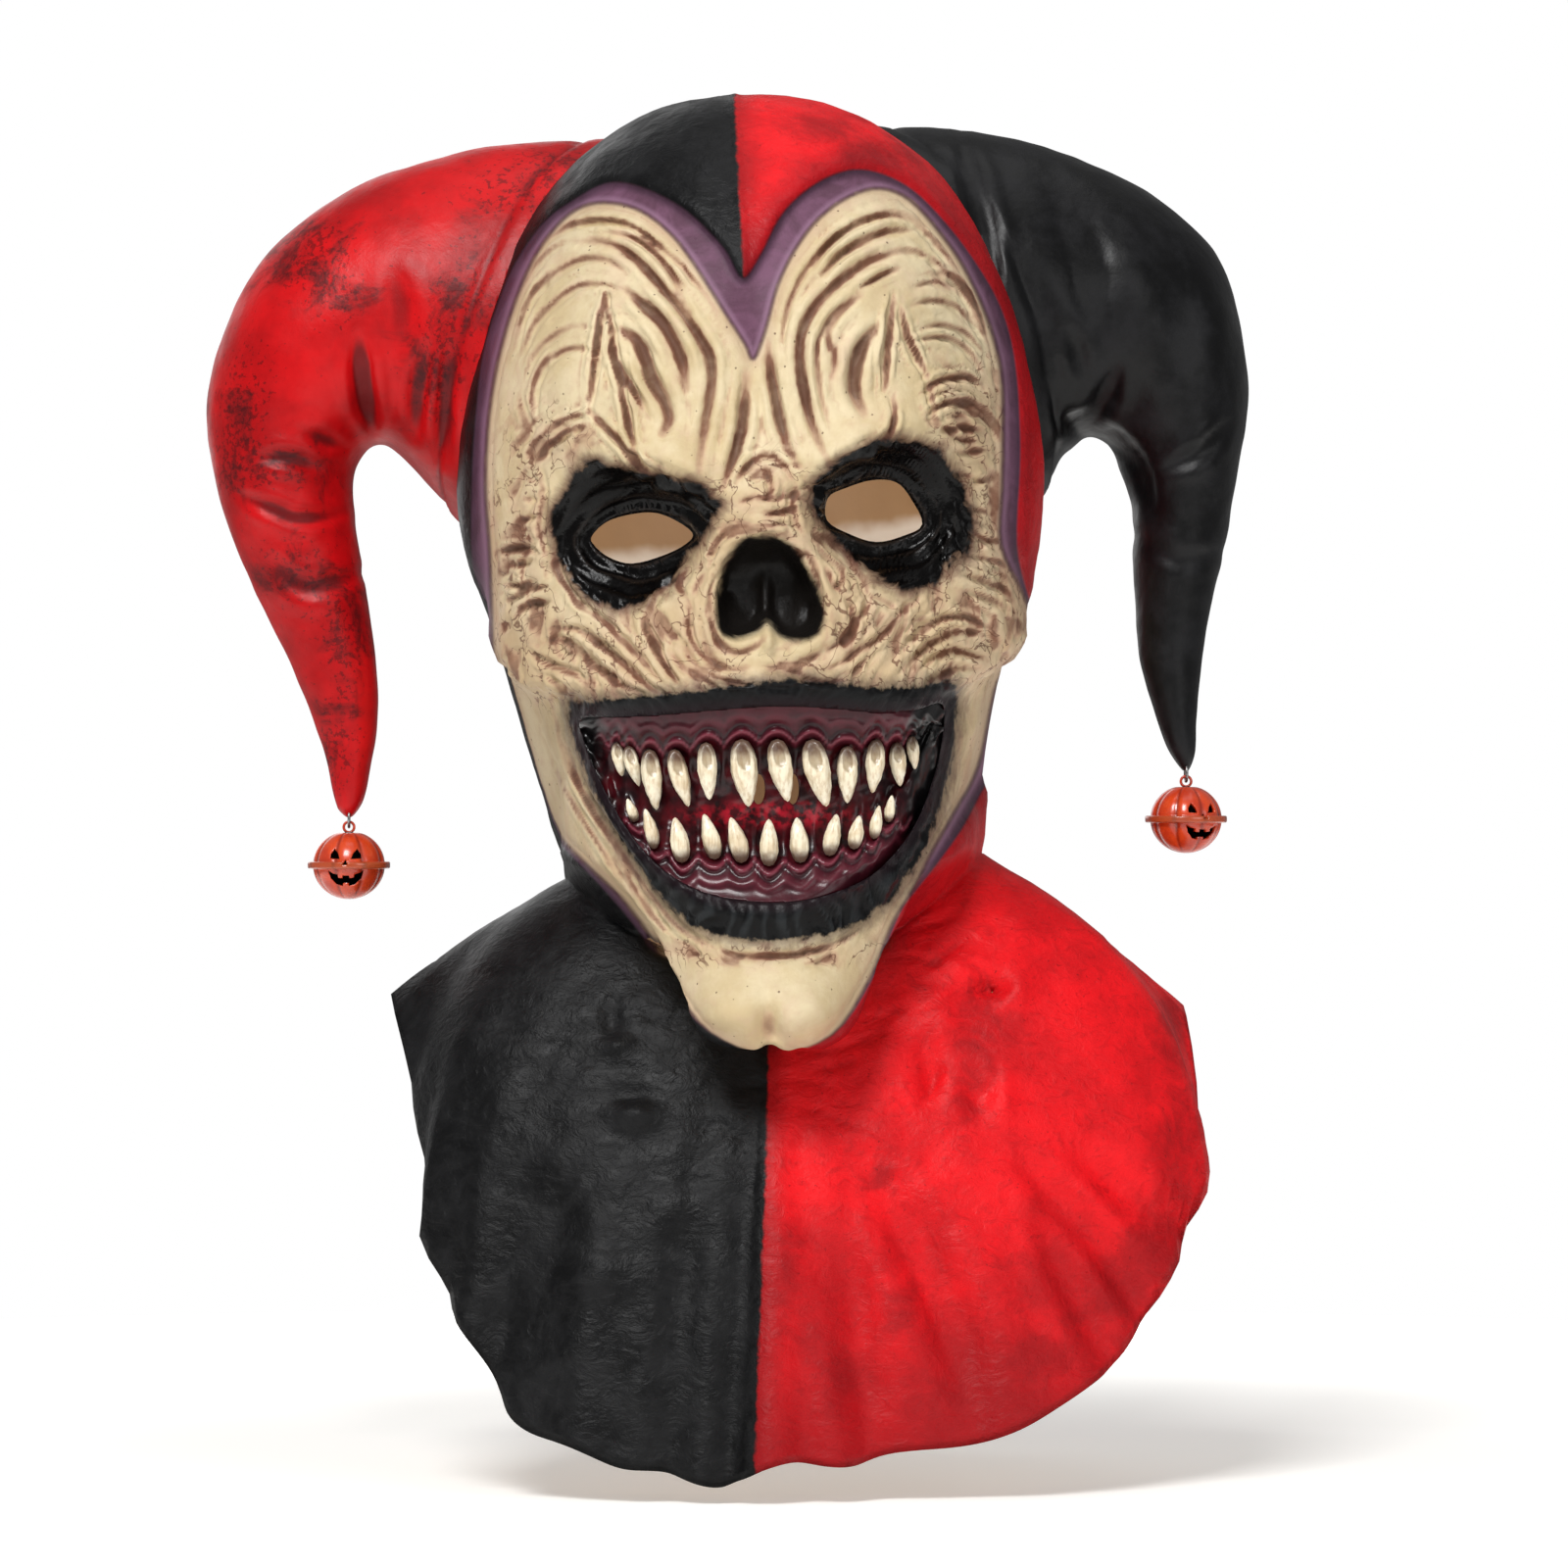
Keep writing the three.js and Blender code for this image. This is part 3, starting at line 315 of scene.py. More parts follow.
# The middle of the web of cracks on the sheet, and heights in mm of the sculpted forms
WEB_MIDDLE = (785, 600)
NOSE_SINK = 9.5
LEDGE = {"lip": 1.4, "step": 3.4}
LID = {"rise": 1.3, "reach": 11, "spacing": 4.6}
PLEAT = {"rise": 0.7, "count": 56}
HOOD_WELT = 2.2
BIB_CUT_SPREAD = 1.5
SKIN_CUT_DEPTH = 1.3
# How far fine forms may sink on the hood and bib, and how much more in the thicker skin of the face
DEEPEST, DEEPEST_SKIN = 1.4, 2.2
# Cuts: width and depth in mm, and the points that the cut follows on its drawing
BROW_CUTS = [
    (0.9, 0.8, [(157, 490), (208, 410), (299, 357), (401, 345), (482, 378), (543, 432), (604, 492), (655, 561),
                (686, 632)]),
    (0.9, 0.8, [(1085, 334), (1165, 345), (1228, 384), (1287, 459), (1338, 540), (1377, 642), (1388, 723)]),
    (0.9, 0.8, [(1173, 418), (1245, 449), (1306, 500), (1346, 561), (1368, 620)]),
    (0.9, 0.9, [(842, 690), (848, 611), (875, 530), (925, 449), (985, 384), (1051, 345)]),
    (0.9, 0.7, [(140, 690), (160, 600), (190, 530), (235, 470)]),
    (0.9, 0.9, [(1204, 490), (1265, 488), (1326, 526), (1367, 591)]),
    (0.9, 0.9, [(1189, 664), (1262, 650), (1322, 676), (1370, 745)]),
    (0.9, 0.8, [(1160, 470), (1100, 492), (1040, 530)]),
    (0.9, 0.8, [(1000, 560), (960, 610), (935, 690), (940, 790), (960, 870)]),
    (0.9, 0.7, [(192, 880), (186, 800), (205, 730), (250, 670)]),
    (1.25, 1.26, [(370, 375), (440, 385), (500, 420), (545, 475), (580, 540), (605, 585)]),
    (1.5, 1.54, [(300, 405), (350, 398), (400, 408), (450, 440), (510, 500), (570, 570), (620, 640), (655, 710),
                (657, 790), (642, 870), (630, 960), (625, 1010)]),
    (1.75, 1.96, [(430, 525), (470, 560), (520, 605), (555, 660), (580, 720), (592, 790)]),
    (1.88, 2.1, [(410, 632), (455, 655), (480, 700), (500, 760), (530, 815), (545, 865), (528, 905)]),
    (1.38, 1.54, [(388, 690), (412, 730), (445, 785), (482, 832)]),
    (1, 0.84, [(150, 620), (190, 540), (250, 480), (320, 447), (380, 450), (430, 475)]),
    (1, 0.84, [(160, 700), (190, 620), (245, 560), (300, 520), (360, 512), (420, 525)]),
    (1, 0.7, [(168, 770), (190, 700), (240, 650), (300, 622), (345, 632)]),
    (1, 0.84, [(182, 830), (200, 760), (240, 705), (300, 680), (355, 700)]),
    (1, 0.7, [(135, 560), (180, 480), (240, 420), (300, 395)]),
    (1, 0.7, [(215, 380), (290, 352), (370, 345), (450, 365), (520, 410), (570, 460)]),
    (1, 0.56, [(150, 800), (160, 850), (180, 900)]),
    (1.06, 1.82, [(378, 535), (366, 600), (356, 680), (345, 760), (335, 845)]),
    (1.06, 1.82, [(378, 535), (390, 620), (402, 700), (420, 790), (438, 875), (458, 960), (490, 1015)]),
    (1.12, 1.82, [(335, 845), (370, 880), (420, 930), (460, 985), (510, 1025), (580, 1045), (640, 1050)]),
    (1.5, 1.54, [(748, 740), (746, 820), (736, 900), (712, 980), (690, 1045)]),
    (1.5, 1.54, [(808, 660), (812, 740), (828, 830), (850, 920), (882, 990)]),
    (1.5, 1.54, [(1210, 435), (1160, 425), (1110, 438), (1050, 465), (990, 510), (930, 570), (895, 640),
                (888, 700), (898, 780), (915, 860), (940, 930), (978, 1000)]),
    (1.25, 1.26, [(945, 505), (985, 445), (1050, 402), (1120, 375), (1190, 370)]),
    (1.12, 1.12, [(925, 470), (965, 415), (1020, 365), (1090, 335), (1160, 330), (1220, 360)]),
    (1, 0.84, [(1210, 440), (1270, 480), (1320, 530), (1355, 600), (1375, 680)]),
    (1.88, 1.96, [(1088, 628), (1052, 678), (1036, 738), (1034, 795), (1058, 855)]),
    (1.12, 1.12, [(962, 690), (966, 630), (1000, 580), (1060, 535)]),
    (1.12, 0.84, [(960, 640), (985, 720), (975, 760)]),
    (1, 0.84, [(1190, 520), (1250, 505), (1310, 535), (1355, 605)]),
    (1, 0.84, [(1170, 572), (1240, 556), (1310, 578), (1372, 645)]),
    (1, 0.7, [(1190, 640), (1250, 620), (1320, 640), (1382, 705)]),
    (1.06, 1.82, [(1138, 533), (1128, 620), (1120, 700), (1114, 795)]),
    (1.06, 1.82, [(1150, 560), (1166, 630), (1192, 690), (1225, 755)]),
    (1, 1.54, [(1130, 800), (1140, 860), (1118, 920), (1070, 955), (1010, 985)]),
    (1, 0.84, [(1225, 755), (1240, 830), (1255, 900)]),
    (1, 1.26, [(225, 900), (270, 870), (330, 850)]),
    (1, 1.12, [(240, 940), (280, 900), (335, 880)]),
    (1, 0.98, [(205, 980), (230, 940), (260, 920)]),
    (1, 1.26, [(1210, 800), (1260, 765), (1330, 760), (1380, 790)]),
    (1, 1.12, [(1230, 850), (1290, 820), (1350, 830)]),
    (1, 0.98, [(1260, 905), (1320, 890), (1380, 905)]),
    (1, 0.98, [(1290, 950), (1340, 955), (1390, 945)]),
    (1, 0.98, [(1300, 1010), (1350, 1020)]),
    (1, 1.12, [(710, 1060), (740, 1000), (790, 965), (840, 980), (880, 1040)]),
    (1, 0.84, [(730, 1090), (770, 1070)]),
    (1, 0.98, [(800, 1000), (815, 1050), (800, 1080)]),
    (1, 0.84, [(880, 1040), (870, 1090), (850, 1120)]),
]
CHEEK_CUTS = [
    (1, 1.12, [(560, 395), (525, 440), (500, 480), (480, 535), (520, 600), (565, 685)]),
    (1.12, 1.26, [(200, 590), (250, 570), (300, 590), (350, 640), (420, 690), (470, 715)]),
    (1.12, 1.26, [(225, 555), (300, 545), (370, 590), (440, 650), (500, 700), (530, 718)]),
    (1, 1.12, [(320, 470), (370, 520), (420, 570), (470, 620), (520, 680)]),
    (1, 1.12, [(480, 520), (500, 590), (540, 650), (580, 700)]),
    (1, 1.12, [(600, 470), (600, 560), (640, 620), (700, 650), (760, 645)]),
    (1.12, 1.26, [(655, 520), (672, 575), (720, 605), (770, 592), (802, 562)]),
    (1, 0.98, [(950, 600), (1000, 582), (1032, 540), (1022, 480), (1000, 450)]),
    (1, 1.12, [(935, 655), (1000, 632), (1060, 592), (1110, 560), (1160, 500), (1220, 450)]),
    (1, 0.98, [(1060, 450), (1110, 470), (1152, 500)]),
    (1.12, 1.26, [(1140, 672), (1190, 622), (1240, 582), (1300, 552), (1370, 562)]),
    (1, 1.12, [(1165, 600), (1200, 560), (1260, 520), (1330, 515), (1390, 545)]),
    (1, 1.12, [(1200, 645), (1280, 602), (1340, 612), (1400, 632)]),
    (1, 0.98, [(1230, 680), (1300, 650), (1360, 650)]),
    (1, 0.98, [(640, 640), (700, 680), (780, 690)]),
    (1, 0.84, [(540, 600), (600, 660), (660, 690)]),
    (1, 0.98, [(870, 650), (930, 680), (1010, 680)]),
    (1, 1.12, [(90, 345), (150, 332), (205, 350)]),
    (1, 1.12, [(105, 425), (150, 432), (200, 412)]),
    (1, 1.12, [(112, 485), (165, 442), (230, 432)]),
    (1, 1.12, [(132, 525), (172, 482), (232, 472)]),
    (1, 0.84, [(105, 560), (120, 520)]),
    (1, 0.84, [(120, 380), (170, 375)]),
    (1, 0.98, [(205, 120), (215, 200), (205, 280), (225, 360)]),
    (1, 0.84, [(160, 200), (190, 210)]),
    (1, 0.84, [(150, 260), (195, 250)]),
    (1, 0.84, [(170, 150), (200, 160)]),
    (1, 1.12, [(1335, 280), (1380, 312), (1425, 310)]),
    (1, 1.12, [(1330, 350), (1390, 362), (1445, 385)]),
    (1, 1.12, [(1320, 400), (1380, 420), (1440, 450)]),
    (1, 0.98, [(1345, 230), (1390, 240)]),
    (1, 0.98, [(1350, 160), (1390, 150)]),
    (1, 0.98, [(1330, 440), (1400, 470), (1450, 500)]),
    (1, 1.12, [(905, 330), (930, 400), (950, 470)]),
    (1, 0.98, [(960, 380), (980, 430), (1000, 450)]),
    (1, 0.98, [(870, 200), (880, 260), (900, 300)]),
    (1, 0.98, [(1010, 400), (990, 440)]),
    (1, 0.98, [(1075, 460), (1060, 500), (1030, 540)]),
    (1, 0.98, [(600, 380), (570, 430), (600, 470)]),
    (1, 0.98, [(640, 400), (620, 440)]),
    (1, 0.98, [(690, 290), (660, 330), (650, 380)]),
    (1, 1.12, [(260, 400), (300, 470), (360, 520)]),
    (1, 0.98, [(240, 330), (255, 400), (290, 450)]),
    (1.12, 1.26, [(180, 610), (230, 640), (290, 660), (330, 690)]),
    (1, 1.12, [(215, 660), (260, 700), (270, 740)]),
]
JAW_CUTS = [
    (1, 0.98, [(20, 150), (60, 340), (130, 490), (220, 640), (320, 810), (420, 960)]),
    (1, 0.98, [(60, 260), (110, 420), (185, 560), (280, 700)]),
    (1, 0.98, [(170, 500), (255, 650), (330, 780), (420, 900), (520, 985), (640, 1030)]),
    (1, 0.84, [(0, 330), (60, 450), (140, 580), (230, 720), (310, 860)]),
    (1, 0.84, [(240, 700), (320, 830), (400, 930), (480, 1000)]),
    (1, 1.12, [(560, 1015), (680, 1045), (800, 1052), (930, 1040), (1060, 1000), (1150, 950)]),
    (1, 0.3, [(1500, 150), (1490, 350), (1440, 520), (1360, 670), (1290, 820)]),
    (1, 0.35, [(1450, 420), (1400, 560), (1330, 700), (1260, 830), (1200, 920)]),
    (1, 0.3, [(1540, 250), (1500, 450), (1440, 600)]),
    (1.3, 1.0, [(-18, 392), (-12, 410), (-6, 428)]),
]
BIB_CUTS = [
    (1.3, 0.7, [(514, 415), (516, 450), (519, 490)]),
    (0.9, 0.7, [(560, 500), (640, 520), (720, 500), (790, 470)]),
    (0.9, 0.6, [(600, 560), (690, 545), (760, 520)]),
    (0.9, 0.6, [(820, 560), (870, 520), (900, 460), (960, 420)]),
    (1.0, 0.8, [(900, 420), (960, 380), (1040, 370), (1100, 390)]),
    (1.0, 0.8, [(960, 300), (1020, 330), (1060, 380)]),
    (0.9, 0.7, [(860, 650), (900, 600), (930, 540)]),
    (0.9, 0.6, [(1000, 640), (1040, 600), (1060, 540)]),
    (1.0, 0.7, [(870, 330), (930, 290), (990, 240)]),
    (0.9, 0.6, [(560, 640), (640, 660), (720, 690), (800, 700)]),
    (0.9, 0.5, [(200, 420), (280, 450), (340, 430)]),
    (0.9, 0.5, [(120, 560), (210, 560), (300, 600)]),
    (0.9, 0.5, [(330, 700), (400, 690), (470, 720)]),
    (0.9, 0.5, [(260, 820), (340, 830), (430, 810)]),
    (0.9, 0.7, [(330, 290), (430, 300), (540, 290), (640, 300), (700, 260)]),
    (0.7, 0.6, [(530, 580), (620, 590), (700, 605)]),
    (0.7, 0.6, [(640, 640), (730, 640), (800, 620)]),
    (0.7, 0.6, [(660, 750), (740, 755), (830, 770)]),
    (0.7, 0.5, [(600, 690), (680, 690)]),
    (0.8, 0.6, [(740, 440), (800, 430), (850, 400)]),
    (0.8, 0.6, [(830, 240), (900, 220), (980, 190)]),
    (0.8, 0.6, [(800, 300), (880, 300), (960, 330)]),
]
BIB_FOLDS = [
    (3.2, 1.9, [(512, 385), (514, 420), (517, 450), (521, 530)]),
    (6.0, 2.6, [(760, 780), (850, 950), (960, 1180), (1010, 1390)]),
    (6.0, 1.8, [(620, 900), (690, 1100), (710, 1300), (720, 1450)]),
    (4.0, 2.8, [(1120, 780), (1290, 980), (1400, 1150)]),
    (4.0, 2.6, [(1240, 760), (1400, 880), (1510, 960)]),
    (4.0, 2.6, [(1150, 900), (1240, 1080), (1310, 1240)]),
    (5.0, 0.6, [(330, 800), (300, 1050), (260, 1300)]),
    (7.0, 1.2, [(20, 740), (-20, 1000), (-100, 1300)]),
]


def smoothstep(value, low, high):
    share = np.clip((value - low) / (high - low), 0, 1)
    return share**2 * (3 - 2 * share)


def read_table(table, at):
    """Smooth curves through a table's columns, read at values of its first column."""
    knots, values = table[:, 0], table[:, 1:]
    rows = np.arange(len(knots))
    low, high = np.maximum(rows - 1, 0), np.minimum(rows + 1, len(knots) - 1)
    slopes = (values[high] - values[low]) / (knots[high] - knots[low])[:, None]
    end = np.clip(np.searchsorted(knots, at), 1, len(knots) - 1)
    start = end - 1
    span = (knots[end] - knots[start])[:, None]
    t = np.clip((at - knots[start])[:, None] / span, 0, 1)
    ease = 3 * t**2 - 2 * t**3
    level = (1 - ease) * values[start] + ease * values[end]
    return level + (t**3 - 2 * t**2 + t) * span * slopes[start] + (t**3 - t**2) * span * slopes[end]


def smooth_line(points, closed=False, steps=4):
    """More points on a smooth line through the given ones."""
    points = np.array(points, float)
    before = np.roll(points, 1, axis=0)
    after = np.roll(points, -1, axis=0)
    beyond = np.roll(points, -2, axis=0)
    if not closed:
        before[0] = points[0]
        after[-1] = points[-1]
        beyond[-2:] = points[-1]
    made = []
    for t in np.arange(steps) / steps:
        bend = 2 * points + (after - before) * t
        bend += (2 * before - 5 * points + 4 * after - beyond) * t**2
        made.append((bend + (3 * points - before - 3 * after + beyond) * t**3) / 2)
    line = np.stack(made, axis=1).reshape(-1, 2)
    return line if closed else line[: -steps + 1]


def line_distance(points, line):
    """Distance from points to a line, and the share of the line at its nearest place."""
    best = np.full(len(points), 1e9)
    along = np.zeros(len(points))
    lengths = np.linalg.norm(line[1:] - line[:-1], axis=1)
    runs = np.concatenate([[0], np.cumsum(lengths)])
    for start, end, length, run in zip(line[:-1], line[1:], lengths, runs):
        way = (end - start) / max(length, 1e-9)
        t = np.clip((points - start) @ way, 0, length)
        gap = np.linalg.norm(points - start - t[:, None] * way, axis=1)
        nearer = gap < best
        best[nearer] = gap[nearer]
        along[nearer] = ((run + t) / runs[-1])[nearer]
    return best, along


def outline_distance(points, outline):
    """Distance in mm from a closed outline on the sheet, above zero inside it."""
    line = smooth_line(outline, closed=True)
    line = np.concatenate([line, line[:1]])
    gap, _ = line_distance(points, line)
    inside = np.zeros(len(points), bool)
    for (x0, y0), (x1, y1) in zip(line[:-1], line[1:]):
        crosses = (y0 > points[:, 1]) != (y1 > points[:, 1])
        at = x0 + (points[:, 1] - y0) * (x1 - x0) / (y1 - y0 if y1 != y0 else 1e-9)
        inside ^= crosses & (points[:, 0] < at)
    return np.where(inside, gap, -gap) * UNIT


def drawn(drawing, points):
    """Points of a drawing as points of the sheet."""
    return np.array(drawing[:2]) + np.array(points, float) / drawing[2]


def zone_share(sheet, zones):
    """How far points of the sheet lie in soft zones, each given by its place, half width and half height."""
    zones = np.array(zones, float)
    return np.clip(sum(np.exp(-(((sheet - zone[:2]) / zone[2:]) ** 2).sum(1)) for zone in zones), 0, 1)


def cut_depth(sheet, cuts, drawing, ragged=None, echo=0):
    """How deep the cuts of a drawing go at points of the sheet, with a low ridge on both sides of each.

    Ragged moves their sides by some mm, and echo is the share of their depth that a hairline beside each has.
    """
    ragged = np.zeros(len(sheet)) if ragged is None else ragged
    depth = np.zeros(len(sheet))
    for width, deep, points in cuts:
        line = smooth_line(drawn(drawing, points))
        margin = 4 * width / UNIT
        near = np.all((sheet > line.min(0) - margin) & (sheet < line.max(0) + margin), axis=1)
        if not near.any():
            continue
        gap, along = line_distance(sheet[near], line)
        taper = np.minimum(1, 0.25 + 2.6 * np.minimum(along, 1 - along))
        across = np.maximum(0, gap * UNIT + ragged[near]) / (width * (0.6 + 0.4 * taper))
        ridge = 0.5 * np.exp(-(((across - 2.1) / 0.9) ** 2)) - echo * np.exp(-(((across - 3.6) / 0.35) ** 2))
        depth[near] += deep * taper * (np.exp(-(across**3)) + 0.22 * np.exp(-((across / 2) ** 2)) - ridge)
    return depth


def lumps(points, size, seed):
    """Smooth noise from -1 to 1 with lumps of a size in mm."""
    return np.array([noise.noise(Vector(point)) for point in points / size + seed])


def on_sheet(points):
    """Where points in mm fall on the front view sheet."""
    away = points - VIEW_FROM
    scale = VIEW_DISTANCE / VIEW_WIDTH * SHEET / (away @ FORWARD)
    return np.stack([SHEET / 2 + (away @ RIGHT) * scale, SHEET / 2 - (away @ UP) * scale], axis=1)


def off_sheet(sheet, y):
    """Points in mm, at a depth y, behind points of the sheet."""
    side = (sheet - SHEET / 2) * VIEW_WIDTH / SHEET / VIEW_DISTANCE
    way = FORWARD + side[:, :1] * RIGHT - side[:, 1:] * UP
    return VIEW_FROM + way * ((y - VIEW_FROM[1]) / way[:, 1])[:, None]


def lean_at(z, turn):
    share = 1 - (1 - LEAN["front"]) * np.maximum(0, np.cos(turn))
    return LEAN["rate"] * share * np.maximum(0, LEAN["level"] - z) ** 2


def mouth_top(x):
    return MOUTH["top"] + MOUTH["arch"] * (1 - ((x - MOUTH["x"]) / MOUTH["half"]) ** 2)


def mouth_bottom(x):
    across = np.minimum(1, np.abs((x - MOUTH["x"]) / MOUTH["half"]))
    return MOUTH["top"] - MOUTH["depth"] * (1 - across ** MOUTH["power"]) ** MOUTH["round"]


def lip_rise(x, z):
    across = np.abs((x - MOUTH["x"]) / MOUTH["half"])
    above = (z - mouth_top(x) - LIP["width"] / 2) / LIP["width"]
    below = (z - mouth_bottom(x) + LIP["width"] / 2) / LIP["width"]
    fade = 1 - smoothstep(across, 0.8, 1.1)
    return LIP["rise"] * fade * (np.exp(-(above**2)) * 0.5 + np.exp(-(below**2)))


def face_relief(x, z):
    total = lip_rise(x, z)
    for cx, cz, wide, high, tilt, rise, power in FORMS:
        cos, sin = math.cos(math.radians(tilt)), math.sin(math.radians(tilt))
        across = ((x - cx) * cos + (z - cz) * sin) / wide
        up = ((z - cz) * cos - (x - cx) * sin) / high
        total = total + rise * np.exp(-((across**2 + up**2) ** power))
    return total


def section_radius(turn, half, front, back):
    depth = np.where(np.cos(turn) > 0, front, back)
    across = np.abs(np.sin(turn) / half) ** HEAD_POWER
    along = np.abs(np.cos(turn) / depth) ** HEAD_POWER
    return (across + along) ** (-1 / HEAD_POWER)


def shoulder_rise(turn):
    return RED_SHOULDER * np.maximum(0, np.sin(turn)) ** 3


def head_surface(turn, share, relief):
    """Points of the head, share 0 at the crown and 1 at the jaw's lower border."""
    drop = np.exp(-((np.abs(turn) / math.radians(JAW["angle"])) ** 3))
    jaw = JAW["neck"] + shoulder_rise(turn) + (JAW["chin"] - JAW["neck"]) * drop
    z = CROWN_Z + (jaw - CROWN_Z) * share**1.25
    radius = section_radius(turn, *read_table(HEAD, -z).T)
    facing = smoothstep(np.cos(turn), -0.1, 0.25)
    lean = lean_at(z, turn)
    reach = radius + relief * facing * face_relief(radius * np.sin(turn) + lean, z)
    return np.stack([reach * np.sin(turn) + lean, -reach * np.cos(turn), z], axis=1)


def neck_ring(turn):
    radius = section_radius(turn, NECK["half"], NECK["front"], NECK["back"])
    z = NECK["z"] + shoulder_rise(turn) - NECK["throat"] * np.maximum(0, np.cos(turn)) ** 2
    return np.stack([radius * np.sin(turn) + lean_at(z, turn), -radius * np.cos(turn), z], axis=1)


def bib_surface(turn, share):
    """Points of the bib, share 0 at the neck and 1 at the hem."""
    angle = np.degrees(np.abs(turn))
    black, red = read_table(BIB_BLACK, angle), read_table(BIB_RED, angle)
    sides = np.where(turn[:, None] < 0, black, red)
    knee, hem = sides[:, :3], sides[:, 3:].copy()
    hem[:, 2] += HEM["rise"] * np.sin(HEM["waves"] * turn + np.sin(3 * turn))
    hem[:, 2] += HEM["sway"] * np.sin(8 * turn + 2 * np.sin(3 * turn))
    reach = HEM["reach"] * np.sin(HEM["scallops"] * turn + 2 * np.sin(2 * turn))
    reach *= (0.7 + 0.5 * np.sin(5 * turn + 1)) * (1 - np.exp(-(((np.abs(turn) - 1.55) / 0.25) ** 2)))
    hem[:, :2] += np.stack([reach * np.sin(turn), -reach * np.cos(turn)], axis=1)
    s = share[:, None]
    point = (1 - s) ** 2 * neck_ring(turn) + 2 * s * (1 - s) * knee + s**2 * hem
    fold = FOLDS["rise"] * np.maximum(0, share) ** 1.5 * np.sin(FOLDS["count"] * turn + 0.8)
    fold *= np.where((turn < 0) & (turn > -1.6), 0.5 + 0.5 * np.clip(-turn - 0.6, 0, 1), 1)
    return point + np.stack([fold * np.sin(turn), -fold * np.cos(turn), 0 * fold], axis=1)


def shell_surface(places, relief):
    """Points of the shell: places run round it from -1 to 1, and down from the crown, 0, to the hem, 1."""
    across, down = places.T
    turn = math.pi * (0.5 * across + 0.5 * across**5)
    head = head_surface(turn, np.clip(down / HEAD_END, 0, 1), relief)
    throat_share = np.clip((down - HEAD_END) / (THROAT_END - HEAD_END), 0, 1)[:, None]
    throat = head * (1 - throat_share) + neck_ring(turn) * throat_share
    bib = bib_surface(turn, (down - THROAT_END) / (1 - THROAT_END))
    points = np.where(down[:, None] < THROAT_END, throat, bib)
    points[down <= 1e-6] = (0, 0, CROWN_Z)
    return points


def surface_normals(surface, places):
    """How a surface, given as a function of places on its sheet, faces at those places."""
    step = 0.002
    across, along = np.array([step, 0]), np.array([0, step])
    down = surface(places + along) - surface(places - along)
    right = surface(places + across) - surface(places - across)
    normals = np.cross(down, right)
    return normals / np.maximum(np.linalg.norm(normals, axis=1), 1e-9)[:, None]


def shell_normals(places, relief):
    normals = surface_normals(lambda at: shell_surface(np.maximum(at, (-9, 0.0005)), relief), places)
    normals[places[:, 1] < 0.004] = UP
    return normals


def broad_detail(points):
    """Rise in mm of the knobs, the hollows and the nose, which the lining follows too."""
    sheet = on_sheet(points)
    rise = -NOSE_SINK * smoothstep(outline_distance(sheet, NOSE), -0.8, 3.4)
    for x, y, wide, high, up in KNOBS:
        rise += up * np.exp(-(((sheet[:, 0] - x) / wide) ** 2) - ((sheet[:, 1] - y) / high) ** 2)
    for start, full, line in LEDGES:
        below = UNIT * (sheet[:, 1] - np.interp(sheet[:, 0], *np.array(line, float).T))
        step = smoothstep(below, -1.2, 1.6) * (1 - smoothstep(below, 4, 16))
        lip = LEDGE["lip"] * np.exp(-(((below + 4.5) / 4) ** 2))
        rise += (lip - LEDGE["step"] * step) * smoothstep(sheet[:, 0], start, full)
    return rise * smoothstep(-points[:, 1], 0, 20)


